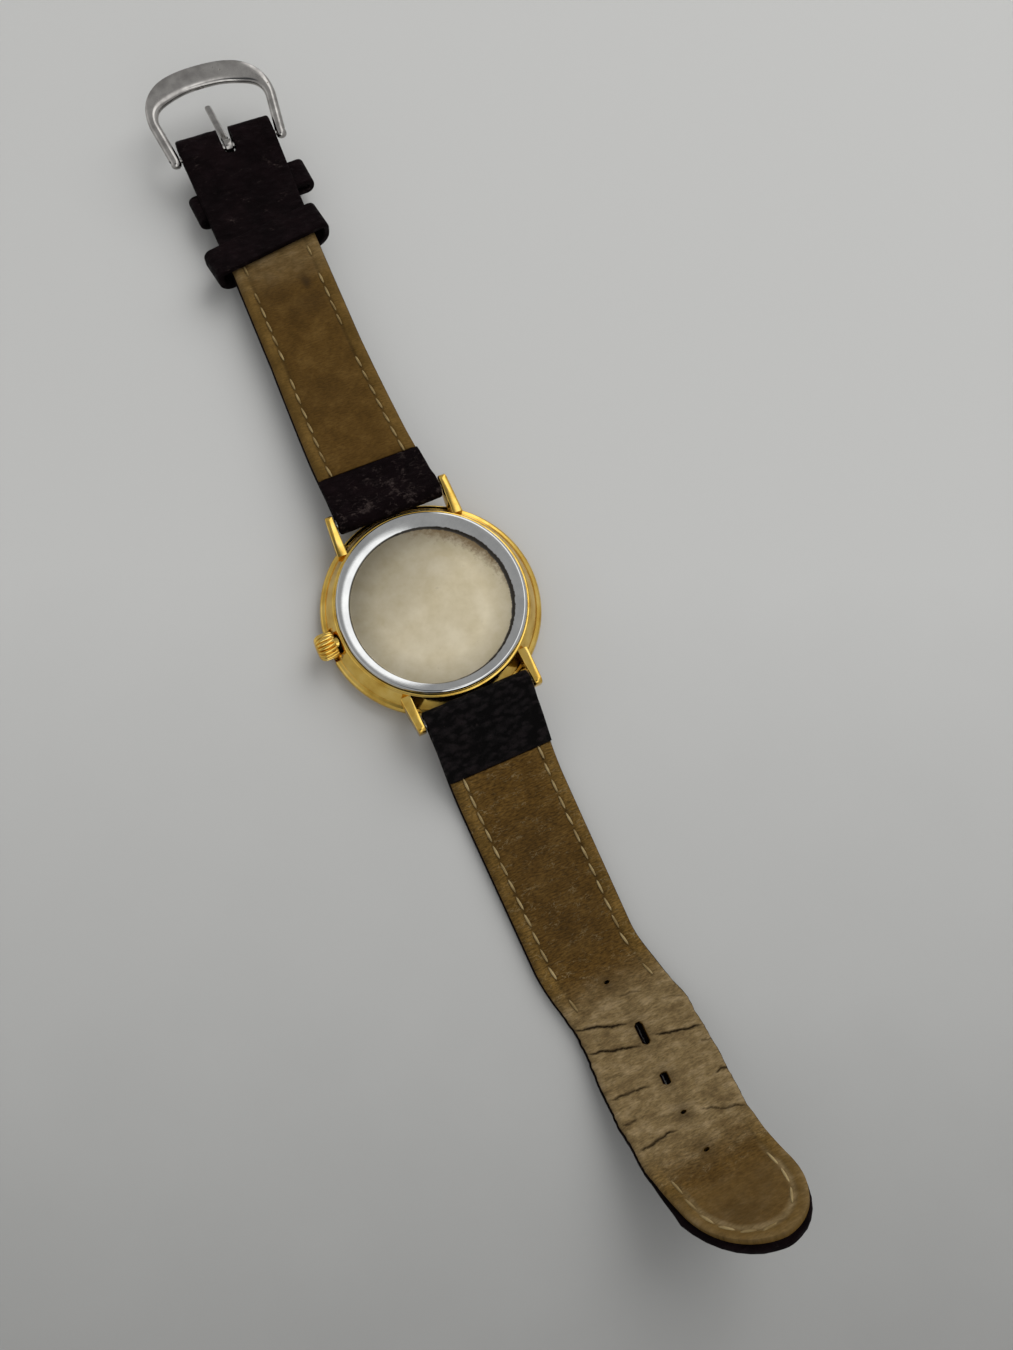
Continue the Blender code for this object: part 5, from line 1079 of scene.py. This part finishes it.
def stitch_tree():
    """Geometry Nodes that lay thread along a seam: one rounded stitch per pitch, turned to seam and face."""
    tree, given = new_tree("seam_stitches", "Stitches", Seam="Geometry", Pitch="Float", Stitch_Length="Float",
                           Thread_Width="Float", Slant="Float", Seed="Int", Thread="Material")
    width = given["Thread Width"]
    curve = add(tree, "GeometryNodeMeshToCurve", {"Mesh": given["Seam"]})
    spaced = add(tree, "GeometryNodeResampleCurve", {"Curve": curve, "Length": given["Pitch"]}, mode="LENGTH")
    along = add(tree, "GeometryNodeInputTangent")
    face = add(tree, "GeometryNodeInputNamedAttribute", {"Name": "face"}, data_type="FLOAT_VECTOR")
    sound = add(tree, "GeometryNodeInputNamedAttribute", {"Name": "sound"}, data_type="FLOAT")
    lot = add(tree, "FunctionNodeRandomValue", {"Seed": given["Seed"]}, data_type="FLOAT")
    kept = add(tree, "FunctionNodeCompare", [lot, sound], operation="LESS_THAN")
    run = add(tree, "FunctionNodeAlignRotationToVector", {"Vector": along}, axis="X")
    seated = add(tree, "FunctionNodeAlignRotationToVector", {"Rotation": run, "Vector": face}, axis="Z",
                 pivot_axis="X")
    lean = add(tree, "FunctionNodeRandomValue", {"Min": 0.3, "Max": 1.0, "Seed": given["Seed"]},
               data_type="FLOAT")
    angle = add(tree, "Math", [lean, given["Slant"]], operation="MULTIPLY")
    yaw = add(tree, "FunctionNodeAxisAngleToRotation", {"Axis": (0, 0, 1), "Angle": angle})
    slanted = add(tree, "FunctionNodeRotateRotation", {"Rotation": seated, "Rotate By": yaw},
                  rotation_space="LOCAL")
    size = add(tree, "CombineXYZ", [given["Stitch Length"], width, width])
    bead = add(tree, "GeometryNodeMeshUVSphere", {"Segments": 8, "Rings": 6, "Radius": 0.5})
    laid = add(tree, "GeometryNodeInstanceOnPoints",
               {"Points": spaced, "Selection": kept, "Instance": bead, "Rotation": slanted, "Scale": size})
    real = add(tree, "GeometryNodeRealizeInstances", {"Geometry": laid})
    smooth = add(tree, "GeometryNodeSetShadeSmooth", {"Geometry": real})
    dyed = add(tree, "GeometryNodeSetMaterial", {"Geometry": smooth, "Material": given["Thread"]})
    add(tree, "NodeGroupOutput", {"Stitches": dyed})
    return tree


def grow(name, tree, mesh, inputs):
    """Runs a tree on a mesh and keeps the result as a plain mesh."""
    made = bpy.data.objects.new(name, mesh)
    bpy.context.scene.collection.objects.link(made)
    nodes = made.modifiers.new(name, "NODES")
    nodes.node_group = tree
    keys = {item.name: item.identifier for item in tree.interface.items_tree if item.in_out == "INPUT"}
    for key, value in inputs.items():
        nodes[keys[key]] = value
    return settle(made)


def seam_mesh(lines):
    """Edges along seams, each point with the direction its face looks and how sound the thread is there."""
    mesh = bpy.data.meshes.new("seam")
    edges = []
    first = 0
    for line in lines:
        edges += [(i, i + 1) for i in range(first, first + len(line) - 1)]
        first += len(line)
    places, faces, sound = zip(*[point for line in lines for point in line])
    mesh.from_pydata([tuple(c * MM for c in place) for place in places], edges, [])
    layer = mesh.attributes.new("face", "FLOAT_VECTOR", "POINT")
    layer.data.foreach_set("vector", np.array(faces, dtype=np.float32).ravel())
    layer = mesh.attributes.new("sound", "FLOAT", "POINT")
    layer.data.foreach_set("value", np.array(sound, dtype=np.float32))
    return mesh


def seam_line(line, shift_of, outline, height, sound_of):
    """A seam along an outline of across and along, above a strap line on the lining or below on the face."""
    made = []
    for x, u in outline:
        spot = above(line, u, height)
        normal = frame_at(line, u)[1] * math.copysign(1, height)
        made.append(((shift_of(u) + x, spot.x, spot.y), (0.0, normal.x, normal.y), sound_of(u)))
    return made


def make_stitches():
    tree = stitch_tree()
    sizes = {"Pitch": STITCH_PITCH * MM, "Stitch Length": STITCH_L * MM, "Thread Width": THREAD * MM,
             "Slant": 0.12}
    sunk = LAYER_GAP / 2 + LINING_T - STITCH_SUNK
    face = -LAYER_GAP / 2 - LEATHER_T + FACE_STITCH_SUNK
    sides = (-1, 1)
    run = steps(SHORT_FOLD + 1.0, SHORT_L - BUCKLE_FOLD - 1.0, 0.5)
    rows = [[(side * (short_width(u) / 2 - SEAM_IN), u) for u in run] for side in sides]
    short_top = [seam_line(short_line, short_shift, row, sunk, lambda u: 0.95 - 0.6 * rise(u, 38, 7))
                 for row in rows]
    run = steps(FOLD_RUN + 1.0, SHORT_L - FOLD_RUN - 2.0, 0.5)
    rows = [[(side * (short_width(u) / 2 - SEAM_IN), u) for u in run] for side in sides]
    short_face = [seam_line(short_line, short_shift, row, face, lambda u: 1.0) for row in rows]
    tip_from = LONG_L - TIP_L
    half = [(long_width(u) / 2 - SEAM_IN, u) for u in steps(LONG_FOLD + 1.0, tip_from, 0.5)]
    for k in range(1, 24):
        angle = math.pi / 2 * k / 24
        u = tip_from + (TIP_L - SEAM_IN) * math.sin(angle)
        half.append(((long_body_width(u) / 2 - SEAM_IN) * math.cos(angle), u))
    around = half + [(0.0, LONG_L - SEAM_IN)] + [(-x, u) for x, u in half[::-1]]
    # The thread is gone where the tail was buckled
    long_top = seam_line(long_line, long_shift, around, sunk,
                         lambda u: 1.0 - 0.93 * rise(u, 40, 9) + 0.9 * rise(u, TIP_WORN_FROM, 5))
    long_face = seam_line(long_line, long_shift, around, face, lambda u: 1.0 - 0.4 * worn_zone(u))
    for name, body, slot, lines, seed, look in (
        ("short_strap_seam", "short_strap", "tan_lining", short_top, 3, SOILED_THREAD),
        ("short_strap_face_seam", "short_strap", "dark_leather", short_face, 5, DARK_THREAD),
        ("long_strap_seam", "long_strap", "tan_lining", [long_top], 7, CREAM_THREAD),
        ("long_strap_face_seam", "long_strap", "dark_leather", [long_face], 9, DARK_THREAD),
    ):
        place_piece(grow(name, tree, seam_mesh(lines), {**sizes, "Seed": seed, "Thread": look}), body, slot)


# Keepers
def keeper_line(bottom, top, half_width, foot_corner, top_corner):
    """A keeper's middle line seen along the strap: a rounded rectangle, from right foot to left foot."""
    made = []
    for side, z, radius, start in ((1, bottom, foot_corner, -90), (1, top, top_corner, 0),
                                   (-1, top, top_corner, 90), (-1, bottom, foot_corner, 180)):
        x = side * (half_width - radius)
        z += radius if z == bottom else -radius
        for turn in range(0, 91, 9):
            angle = math.radians(start + turn)
            made.append(Vector((x + radius * math.cos(angle), z + radius * math.sin(angle))))
    return made


def dense(points, closed):
    """More points along the same line, in steps of about KEEPER_STEP."""
    made = []
    for a, b in zip(points, points[1:] + points[:1] if closed else points[1:]):
        count = max(1, round((b - a).length / KEEPER_STEP))
        made += [a + (b - a) * i / count for i in range(count)]
    return made if closed else made + [points[-1]]


def keeper_strip(name, points, closed, x, at, skew):
    """A strip of leather with rubbed corners, bent along points and laid across the short half."""
    place = Matrix.Translation((short_shift(at) + x, BAR_Y + at, 0)) @ Matrix.Rotation(skew, 4, "Z")
    rings = []
    count = len(points)
    half_t, half_l = KEEPER_WALL / 2, KEEPER_L / 2
    section = rounded(box_outline(-half_t, half_t, -half_l, half_l), KEEPER_EDGE, 5)
    for i, point in enumerate(points):
        before = points[(i - 1) % count] if closed or i else point
        after = points[(i + 1) % count] if closed or i + 1 < count else point
        along = (after - before).normalized()
        normal = Vector((along.y, -along.x))
        rub = 0.05 * grain(point.x * 0.5, point.y * 0.7, 2.0)
        ring = []
        for t, y in section:
            spot = point + normal * (t + (rub if t > 0.3 else 0.0))
            ring.append(place @ Vector((spot.x, y * (1 + 0.02 * grain(point.x * 0.3, point.y)), spot.y)))
        rings.append(ring)
    made = solid(name, *skin(rings, loop=closed), LEATHER, 50)
    spots = [v.co * 180 for v in made.data.vertices]
    keep_attribute(made, "scuff", [0.45 + 0.25 * grain(spot.x, spot.y) for spot in spots])
    return made


def make_keepers():
    half_width = LUG_STRAP_W / 2 + KEEPER_SIDE + KEEPER_WALL / 2
    top = Z_SHORT + LAYER_GAP / 2 + LINING_T + KEEPER_LIFT + KEEPER_WALL / 2
    loop = keeper_line(FREE_KEEPER_FOOT, top, half_width, FREE_FOOT_CORNER, KEEPER_TOP_CORNER)
    made = keeper_strip("loose_keeper_leather", dense(loop, True), True, FREE_KEEPER_X, FREE_KEEPER_AT,
                        FREE_KEEPER_SKEW)
    place_piece(made, "loose_keeper", "dark_leather", "free_keeper")
    # The sewn keeper is open above: its ends run in between the strap's layers
    snug = short_width(FIXED_KEEPER_AT + KEEPER_L / 2) / 2 + 3 * LEATHER_FIT
    loop = keeper_line(SEWN_KEEPER_FOOT, Z_SHORT, half_width, SEWN_FOOT_CORNER, SEWN_CORNER)
    half = len(loop) // 2
    ends = [Vector((side * (snug - SEWN_END_IN) - FIXED_KEEPER_X, Z_SHORT)) for side in (-1, 1)]
    strip = dense([ends[0]] + loop[half:] + loop[:half] + [ends[1]], False)
    made = keeper_strip("sewn_keeper_leather", strip, False, FIXED_KEEPER_X, FIXED_KEEPER_AT,
                        FIXED_KEEPER_SKEW)
    place_piece(made, "short_strap", "dark_leather", "fixed_keeper")


# Case
def make_case():
    corners = [
        (CRYSTAL_BORE, BEZEL_Z), (BEZEL_RIM_R, BEZEL_Z), BEZEL_SHOULDER, (FLANGE_R, FLANGE_LOW),
        (FLANGE_R, FLANGE_TOP), FLANGE_UNDER, BAND_CORNER, BAND_FOOT, BAND_TOP, (LIP_R, LIP_Z),
        (GASKET_R, LIP_Z), (GASKET_R, GASKET_Z), (BACK_SEAT_R, GASKET_Z), (BACK_SEAT_R, BACK_SEAT_Z),
        (CASE_BORE, BACK_SEAT_Z), (CASE_BORE, DIAL_SEAT_Z), (OPENING_R, DIAL_SEAT_Z), (OPENING_R, OPENING_Z),
        (CRYSTAL_BORE, OPENING_Z),
    ]
    radii = [0.1, 0.5, 0.5, 0.3, 0.3, 0.25, 0.05, 0.12, 0.12, 0.12] + [0.04] * 9
    case = solid("case_body", *turned(rounded(corners, radii), 220), GOLD, 32)
    for side in (-1, 1):
        for end in (-1, 1):
            combine(case, "UNION", lug(side, end))
    # The flat behind the crown, the stem's hole and the holes for the spring bars
    notch = box_outline(-1.2 * FLANGE_R, -FACET_X, -FACET_W / 2, FACET_W / 2)
    bore = rod(STEM_BORE, -FLANGE_R, 1.05 - CASE_BORE, 0.0, Z_STEM)
    combine(case, "DIFFERENCE", upright("tool", notch, FACET_Z, 6.0), bore)
    for end in (-1, 1):
        combine(case, "DIFFERENCE", rod(PIN_BORE, -PIN_BORE_L / 2, PIN_BORE_L / 2, end * BAR_Y, Z_BAR))
    crisp(case, 32)
    place_piece(case, "case", "gold_plate", "case_middle")


def lug(side, end):
    """One lug, thinned towards its tip, with softened edges."""
    inner = LUG_GAP / 2
    root = math.sqrt(LUG_ROOT_R ** 2 - inner ** 2)
    tip = BAR_Y + LUG_REACH
    outline = [(root, FLANGE_LOW), (math.sqrt(FLANGE_R ** 2 - inner ** 2), FLANGE_TOP),
               (tip - LUG_TIP_CUT, LUG_TIP_LOW - LUG_TIP_CUT), (tip, LUG_TIP_LOW), (tip, LUG_TIP_TOP),
               (tip - LUG_TIP_CUT, LUG_TIP_TOP + LUG_TIP_CUT), (root, LUG_ROOT_TOP)]
    outline = rounded(outline, [0.0, 0.2, 0.3, 0.3, 0.45, 0.45, 0.0])
    soft = [(0.0, LUG_SOFT), (0.05, 0.05), (LUG_SOFT, 0.0)]
    rings = []
    for t, inset in soft + [(LUG_W - t, inset) for t, inset in soft[::-1]]:
        ring = []
        for y, z in outline:
            cut = inset if y > root + 0.1 else 0.0
            wide = t + (LUG_ROOT_W - LUG_W) * (tip - y) / (tip - root) * (t > LUG_W / 2)
            back = cut * (0.5 if y > 16 else 0)
            ring.append((side * (inner + wide), end * (y - back), z - math.copysign(cut, z - LUG_MID_Z)))
        rings.append(ring)
    return solid("lug", *skin(rings), GOLD)


def make_back_and_glass():
    corners = [
        (0.0, Z_DISC), (DISC_R - 0.6, Z_DISC), (DISC_R, Z_DISC + 0.02), (DISC_R + 0.15, Z_BACK - 0.15),
        (BACK_R - 0.3, Z_BACK), (BACK_R, Z_BACK - 0.3), (BACK_R, LIP_Z), (SNAP_R, LIP_Z), (SNAP_R, SNAP_Z),
        (SNAP_IN_R, SNAP_Z), (SNAP_IN_R, BACK_UNDER_Z), (0.0, BACK_UNDER_Z),
    ]
    radii = [0.0, 0.3, 0.08, 0.10, 0.22, 0.22] + [0.03] * 5 + [0.0]
    profile = rounded(corners, radii)
    # The sunk disc lies off centre, which fades out across the ring
    stays = [1 - rise(r, DISC_R + 0.2, 1.6) if z > Z_DISC - 0.01 else 0.0 for r, z in profile]
    points, faces = turned(profile, 220, False)
    points = [(x + DISC_SHIFT[0] * stays[i % len(stays)], y + DISC_SHIFT[1] * stays[i % len(stays)], z)
              for i, (x, y, z) in enumerate(points)]
    back = solid("snap_back", points, faces, BACK_STEEL, 32)
    place_piece(back, "case", "polished_steel", "case_back")
    corners = [(0.0, CRYSTAL_T), (CRYSTAL_R, CRYSTAL_T), (CRYSTAL_R, 0.2), (CRYSTAL_R - 0.2, 0.0), (0.0, 0.0)]
    profile = rounded(corners, [0.0, 0.06, 0.05, 0.05, 0.0], 3)
    glass = solid("watch_glass", *turned(profile, 180, False), GLASS, 25)
    place_piece(glass, "case", "mineral_glass", "crystal")


def make_crown():
    """The fluted crown: a domed end, rounded flutes, a plain collar, and a hollow for the tube."""
    outer = -CROWN_X - CROWN_L
    # Shares of the crown's length and radius, outside and then back inside
    shape = [(0.0, 0.0), (0.0, 0.35), (0.02, 0.58), (0.05, 0.70), (0.09, 0.80), (0.15, 0.88), (0.24, 0.95),
             (0.36, 0.99), (0.5, 1.0), (0.66, 1.0), (0.8, 0.985), (0.9, 0.95), (0.97, 0.90), (1.0, 0.86)]
    hollow = [(1.0, 0.60), (0.55, 0.60), (0.55, 0.24), (0.35, 0.24), (0.35, 0.0)]
    rings = []
    sides = CROWN_FLUTES * 12
    for share, size in shape:
        fluted = rise(share, 0.02, 0.12) * (1 - rise(share, 0.93, 0.07))
        ring = []
        for i, (c, s) in enumerate(circle(1.0, sides)):
            wave = abs(math.sin(CROWN_FLUTES * math.pi * i / sides))
            radius = max(size * CROWN_R - FLUTE_DEPTH * fluted * (1 - wave) ** 1.6, 0.0)
            ring.append((outer + share * CROWN_L, radius * c, Z_STEM + radius * s))
        rings.append(ring)
    for share, size in hollow:
        rings.append([(outer + share * CROWN_L, a, Z_STEM + b) for a, b in circle(size * CROWN_R, sides)])
    crown = solid("fluted_crown", *skin(rings, capped=False), GOLD, 40)
    place_piece(crown, "crown_body", "gold_plate", "crown")


def make_bar(name, body, radius, inner, place, node, look, collars):
    """A spring bar or buckle bar: a tube with thin pins, and on a spring bar rolled collars."""
    x0, y, z = place
    half = inner - BAR_PLAY
    pin = inner + PIN_L
    shape = [(-pin, 0.0), (-pin, PIN_NOSE_R), (PIN_NOSE - pin, PIN_R), (-half, PIN_R),
             (-half, radius - BAR_CHAMFER), (BAR_CHAMFER - half, radius)]
    if collars:
        shape += [(at - half, radius - deep) for at, deep in COLLAR_GROOVE]
    shape += [(-x, r) for x, r in shape[::-1]]
    rings = [[(x0 + x, y + a, z + b) for a, b in circle(r, 40)] for x, r in shape]
    place_piece(solid(name, *skin(rings, capped=False), look, 30), body, "polished_steel", node)


# Buckle
def arch_point(share):
    """Middle line of the frame in its own plane, from leg's end to leg's end, and how near the top it is."""
    legs = 0.3
    side = 1 if share < 0.5 else -1
    s = min(share, 1 - share)
    if s < legs:
        v = s / legs * (SHOULDER_AT + LEG_END) - LEG_END
        return Vector((side * (LEG_X + (SHOULDER_X - LEG_X) * max(v, 0.0) / SHOULDER_AT), v)), 0.0
    near = (s - legs) / (0.5 - legs)
    angle = near * math.pi / 2
    power = 2 / 2.4
    x = SHOULDER_X * math.cos(angle) ** power if angle < math.pi / 2 - 1e-6 else 0.0
    return Vector((side * x, SHOULDER_AT + (ARCH_AT - SHOULDER_AT) * math.sin(angle) ** power)), near


def on_bar(points, tilt):
    """Turns points round the buckle bar and moves them there."""
    turn = Matrix.Rotation(tilt, 3, "X")
    shift = Vector((BUCKLE_X, BUCKLE_Y, Z_BUCKLE))
    return [tuple(turn @ Vector(p) + shift) for p in points]


def make_buckle():
    rings = []
    count = 140
    for i in range(count + 1):
        share = i / count
        point, near = arch_point(share)
        along = (arch_point(min(share + 0.006, 1.0))[0] - arch_point(max(share - 0.006, 0.0))[0]).normalized()
        across = Vector((along.y, -along.x))
        thin = LEG_ENDS[min(i, count - i, 3)]
        half_w = ease(LEG_W, ARCH_W, near / ARCH_SPREAD) / 2 * thin
        half_t = ease(LEG_T, ARCH_T, near / ARCH_SPREAD) / 2 * thin
        section = squared_circle(28, ease(0.85, 0.55, near / ARCH_SPREAD))
        rings.append([(*(point + across * half_w * a), half_t * b) for a, b in section])
    points, faces = skin(rings)
    arch = solid("buckle_arch", on_bar(points, ARCH_TILT), faces, BUCKLE_STEEL, 45)
    combine(arch, "DIFFERENCE", rod(BUCKLE_PIN_R, BUCKLE_X - 11.5, BUCKLE_X + 11.5, BUCKLE_Y, Z_BUCKLE))
    crisp(arch, 45)
    place_piece(arch, "buckle", "polished_steel", "buckle_frame")
    make_bar("buckle_cross_bar", "buckle", BUCKLE_BAR_R, LEG_X - LEG_W / 2, (BUCKLE_X, BUCKLE_Y, Z_BUCKLE),
             "buckle_bar", BUCKLE_STEEL, False)
    # The tongue tapers a little and closes round at its tip
    rings = []
    for i in range(61):
        t = i / 60
        close = min((1 - t) / 0.05, 1.0)
        tip = math.sqrt(max(1 - (1 - close) ** 2, 0.0025))
        half_w = TONGUE_W / 2 * (1.0 - 0.12 * t) * tip
        half_t = TONGUE_T / 2 * (1.0 - 0.1 * t) * tip
        v = TONGUE_FROM + t * TONGUE_L
        rings.append([(half_w * a, v, half_t * b) for a, b in squared_circle(20, 0.7)])
    points, faces = skin(rings)
    tongue = solid("buckle_pin", on_bar(points, TONGUE_TILT), faces, BUCKLE_STEEL, 40)
    section = box_outline(-TONGUE_W / 2, TONGUE_W / 2, TONGUE_BORE, TONGUE_LOOP_R)
    rings = [[(x, r * c, r * s) for x, r in rounded(section, 0.16, 3)] for c, s in circle(1.0, 56)]
    points, faces = skin(rings, loop=True)
    combine(tongue, "UNION", solid("loop", on_bar(points, 0.0), faces, BUCKLE_STEEL))
    crisp(tongue, 40)
    place_piece(tongue, "tongue", "polished_steel", "buckle_tongue")


# Dial and hands
def marker_tree():
    """Geometry Nodes that set raised markers round a dial: equal bars on a circle, pointing at its middle."""
    tree, given = new_tree("dial_markers", "Markers", Dial="Geometry", Count="Int", Radius="Float",
                           Length="Float", Width="Float", Height="Float", Level="Float", Metal="Material")
    ring = add(tree, "GeometryNodeMeshCircle", {"Vertices": given["Count"], "Radius": given["Radius"]})
    level = add(tree, "CombineXYZ", {"Z": given["Level"]})
    raised = add(tree, "GeometryNodeSetPosition", {"Geometry": ring, "Offset": level})
    spot = add(tree, "GeometryNodeInputPosition")
    out = add(tree, "VectorMath", [spot, (1.0, 1.0, 0.0)], operation="MULTIPLY")
    turn = add(tree, "FunctionNodeAlignRotationToVector", {"Vector": out}, axis="X", pivot_axis="Z")
    size = add(tree, "CombineXYZ", [given["Length"], given["Width"], given["Height"]])
    bar = add(tree, "GeometryNodeMeshCube", {"Size": (1.0, 1.0, 1.0)})
    laid = add(tree, "GeometryNodeInstanceOnPoints",
               {"Points": raised, "Instance": bar, "Rotation": turn, "Scale": size})
    real = add(tree, "GeometryNodeRealizeInstances", {"Geometry": laid})
    clad = add(tree, "GeometryNodeSetMaterial", {"Geometry": real, "Material": given["Metal"]})
    add(tree, "NodeGroupOutput", {"Markers": clad})
    return tree


def make_dial():
    profile = rounded(box_outline(DIAL_BORE, DIAL_R, DIAL_LOW, DIAL_TOP), 0.04, 3)
    place_piece(solid("dial_plate", *turned(profile, 160), IVORY, 32), "case", "ivory_dial", "dial")
    tree = marker_tree()
    batons = grow("hour_batons", tree, bpy.data.meshes.new("blank"), {
        "Count": 12, "Radius": 10.7 * MM, "Length": 2.2 * MM, "Width": 0.6 * MM, "Height": 0.26 * MM,
        "Level": 2.33 * MM, "Metal": GOLD})
    soften = batons.modifiers.new("soften", "BEVEL")
    soften.width = 0.08 * MM
    soften.segments = 2
    place_piece(settle(batons), "case", "gold_plate")
    track = grow("minute_track", tree, bpy.data.meshes.new("blank"), {
        "Count": 60, "Radius": 12.45 * MM, "Length": 0.7 * MM, "Width": 0.12 * MM, "Height": 0.04 * MM,
        "Level": 2.44 * MM, "Metal": RESIN})
    place_piece(track, "case", "black_resin")


def make_hand(name, body, length, turn, hub, level, node):
    """A baton hand with a ridge along its middle, a round hub and a short tail."""
    direction = Vector((-math.sin(2 * math.pi * turn), math.cos(2 * math.pi * turn)))
    side = Vector((-direction.y, direction.x))
    wide = HAND_HALF_W
    shape = ((-HAND_TAIL, wide - 0.04), (0.1 - HAND_TAIL, wide), (-hub - 0.4, wide), (hub + 0.4, wide),
             (length - 0.3, 0.15), (length, 0.04))
    section = ((-1, HAND_RIDGE), (-1, HAND_T), (1, HAND_T), (1, HAND_RIDGE), (0, 0.0))
    rings = [[(*(direction * along + side * half * across), level + z) for across, z in section]
             for along, half in shape]
    made = solid(name, *skin(rings), GOLD, 20)
    profile = rounded(box_outline(hub, hub + HUB_WALL, level + HUB_LOW, level + HUB_TOP), 0.03, 2)
    combine(made, "UNION", solid("hub", *turned(profile, 64), GOLD, 30))
    combine(made, "DIFFERENCE", upright("tool", circle(hub + 0.05, 64), level - 0.3, level + 0.5))
    crisp(made, 20)
    place_piece(made, body, "gold_plate", node)


# Stage
def make_stage():
    scene = bpy.context.scene
    half, low = 1.5, -0.0001
    mesh = bpy.data.meshes.new("floor")
    mesh.from_pydata([(x, y, low) for x, y in box_outline(-half, half, -half, half)], [], [(0, 1, 2, 3)])
    mesh.materials.append(stage_paper())
    floor = bpy.data.objects.new("floor", mesh)
    scene.collection.objects.link(floor)

    world = bpy.data.worlds.new("studio")
    scene.world = world
    world.use_nodes = True
    tree = world.node_tree
    way = add(tree, "TexCoord").outputs["Generated"]
    # A broad bright wall to the right, grey to the left and low down, and a dark gap overhead
    lean = add(tree, "VectorMath", [way, (1.0, -0.35, 0.0)], operation="DOT_PRODUCT")
    share = add(tree, "MapRange", [lean, -1.0, 1.0])
    wall = add(tree, "ValToRGB", [share], [(0.0, 0.56), (0.2, 0.30), (0.535, 0.28), (0.56, 1.05),
                                                     (0.69, 1.05), (0.73, 0.40), (1.0, 0.32)])
    height = add(tree, "SeparateXYZ", [way]).outputs["Z"]
    dim = add(tree, "MapRange", [height, 0.0, 0.4, 0.7, 1.0])
    sky = add(tree, "Mix", [1.0, wall, dim], data_type="RGBA", blend_type="MULTIPLY")
    gap = add(tree, "VectorMath", [way, (-0.13, -0.33, 0.935)], operation="DOT_PRODUCT")
    dark = add(tree, "MapRange", [gap, 0.94, 0.99])
    seen = add(tree, "Mix", [dark, sky, linear("#33363A")], data_type="RGBA")
    wire(tree.nodes["Background"], {"Color": seen, "Strength": 1.5})

    lamp = bpy.data.lights.new("key_softbox", "AREA")
    lamp.size = 0.8
    lamp.energy = 5.3
    made = bpy.data.objects.new("key_softbox", lamp)
    made.location = (0.65, 0.35, 0.75)
    made.rotation_euler = (-made.location).to_track_quat("-Z", "Y").to_euler()
    made.visible_glossy = False
    scene.collection.objects.link(made)

    camera = bpy.data.cameras.new("camera")
    camera.lens = 27.04
    camera.sensor_width = 36
    camera.clip_start = 0.005
    made = bpy.data.objects.new("camera", camera)
    made.location = (-0.02315222, -0.04518993, 0.15513706)
    made.rotation_euler = [math.radians(a) for a in (14.62153748, -5.2813165, -24.56491066)]
    scene.collection.objects.link(made)
    scene.camera = made
    scene.view_settings.view_transform = "Standard"


make_stage()
dress_works()
make_straps()
make_stitches()
make_keepers()
make_case()
make_back_and_glass()
make_crown()
for end, y in (("upper", BAR_Y), ("lower", -BAR_Y)):
    make_bar(end + "_spring_bar", "case", BAR_R, LUG_GAP / 2, (0.0, y, Z_BAR), "spring_bar_" + end,
             WORKS_STEEL, True)
make_buckle()
make_dial()
make_hand("long_hand", "minutes", 11.0, 8 / 60, 0.45, 1.45, "minute_hand")
make_hand("short_hand", "hours", 7.4, (10 + 8 / 60) / 12, 0.75, 1.85, "hour_hand")
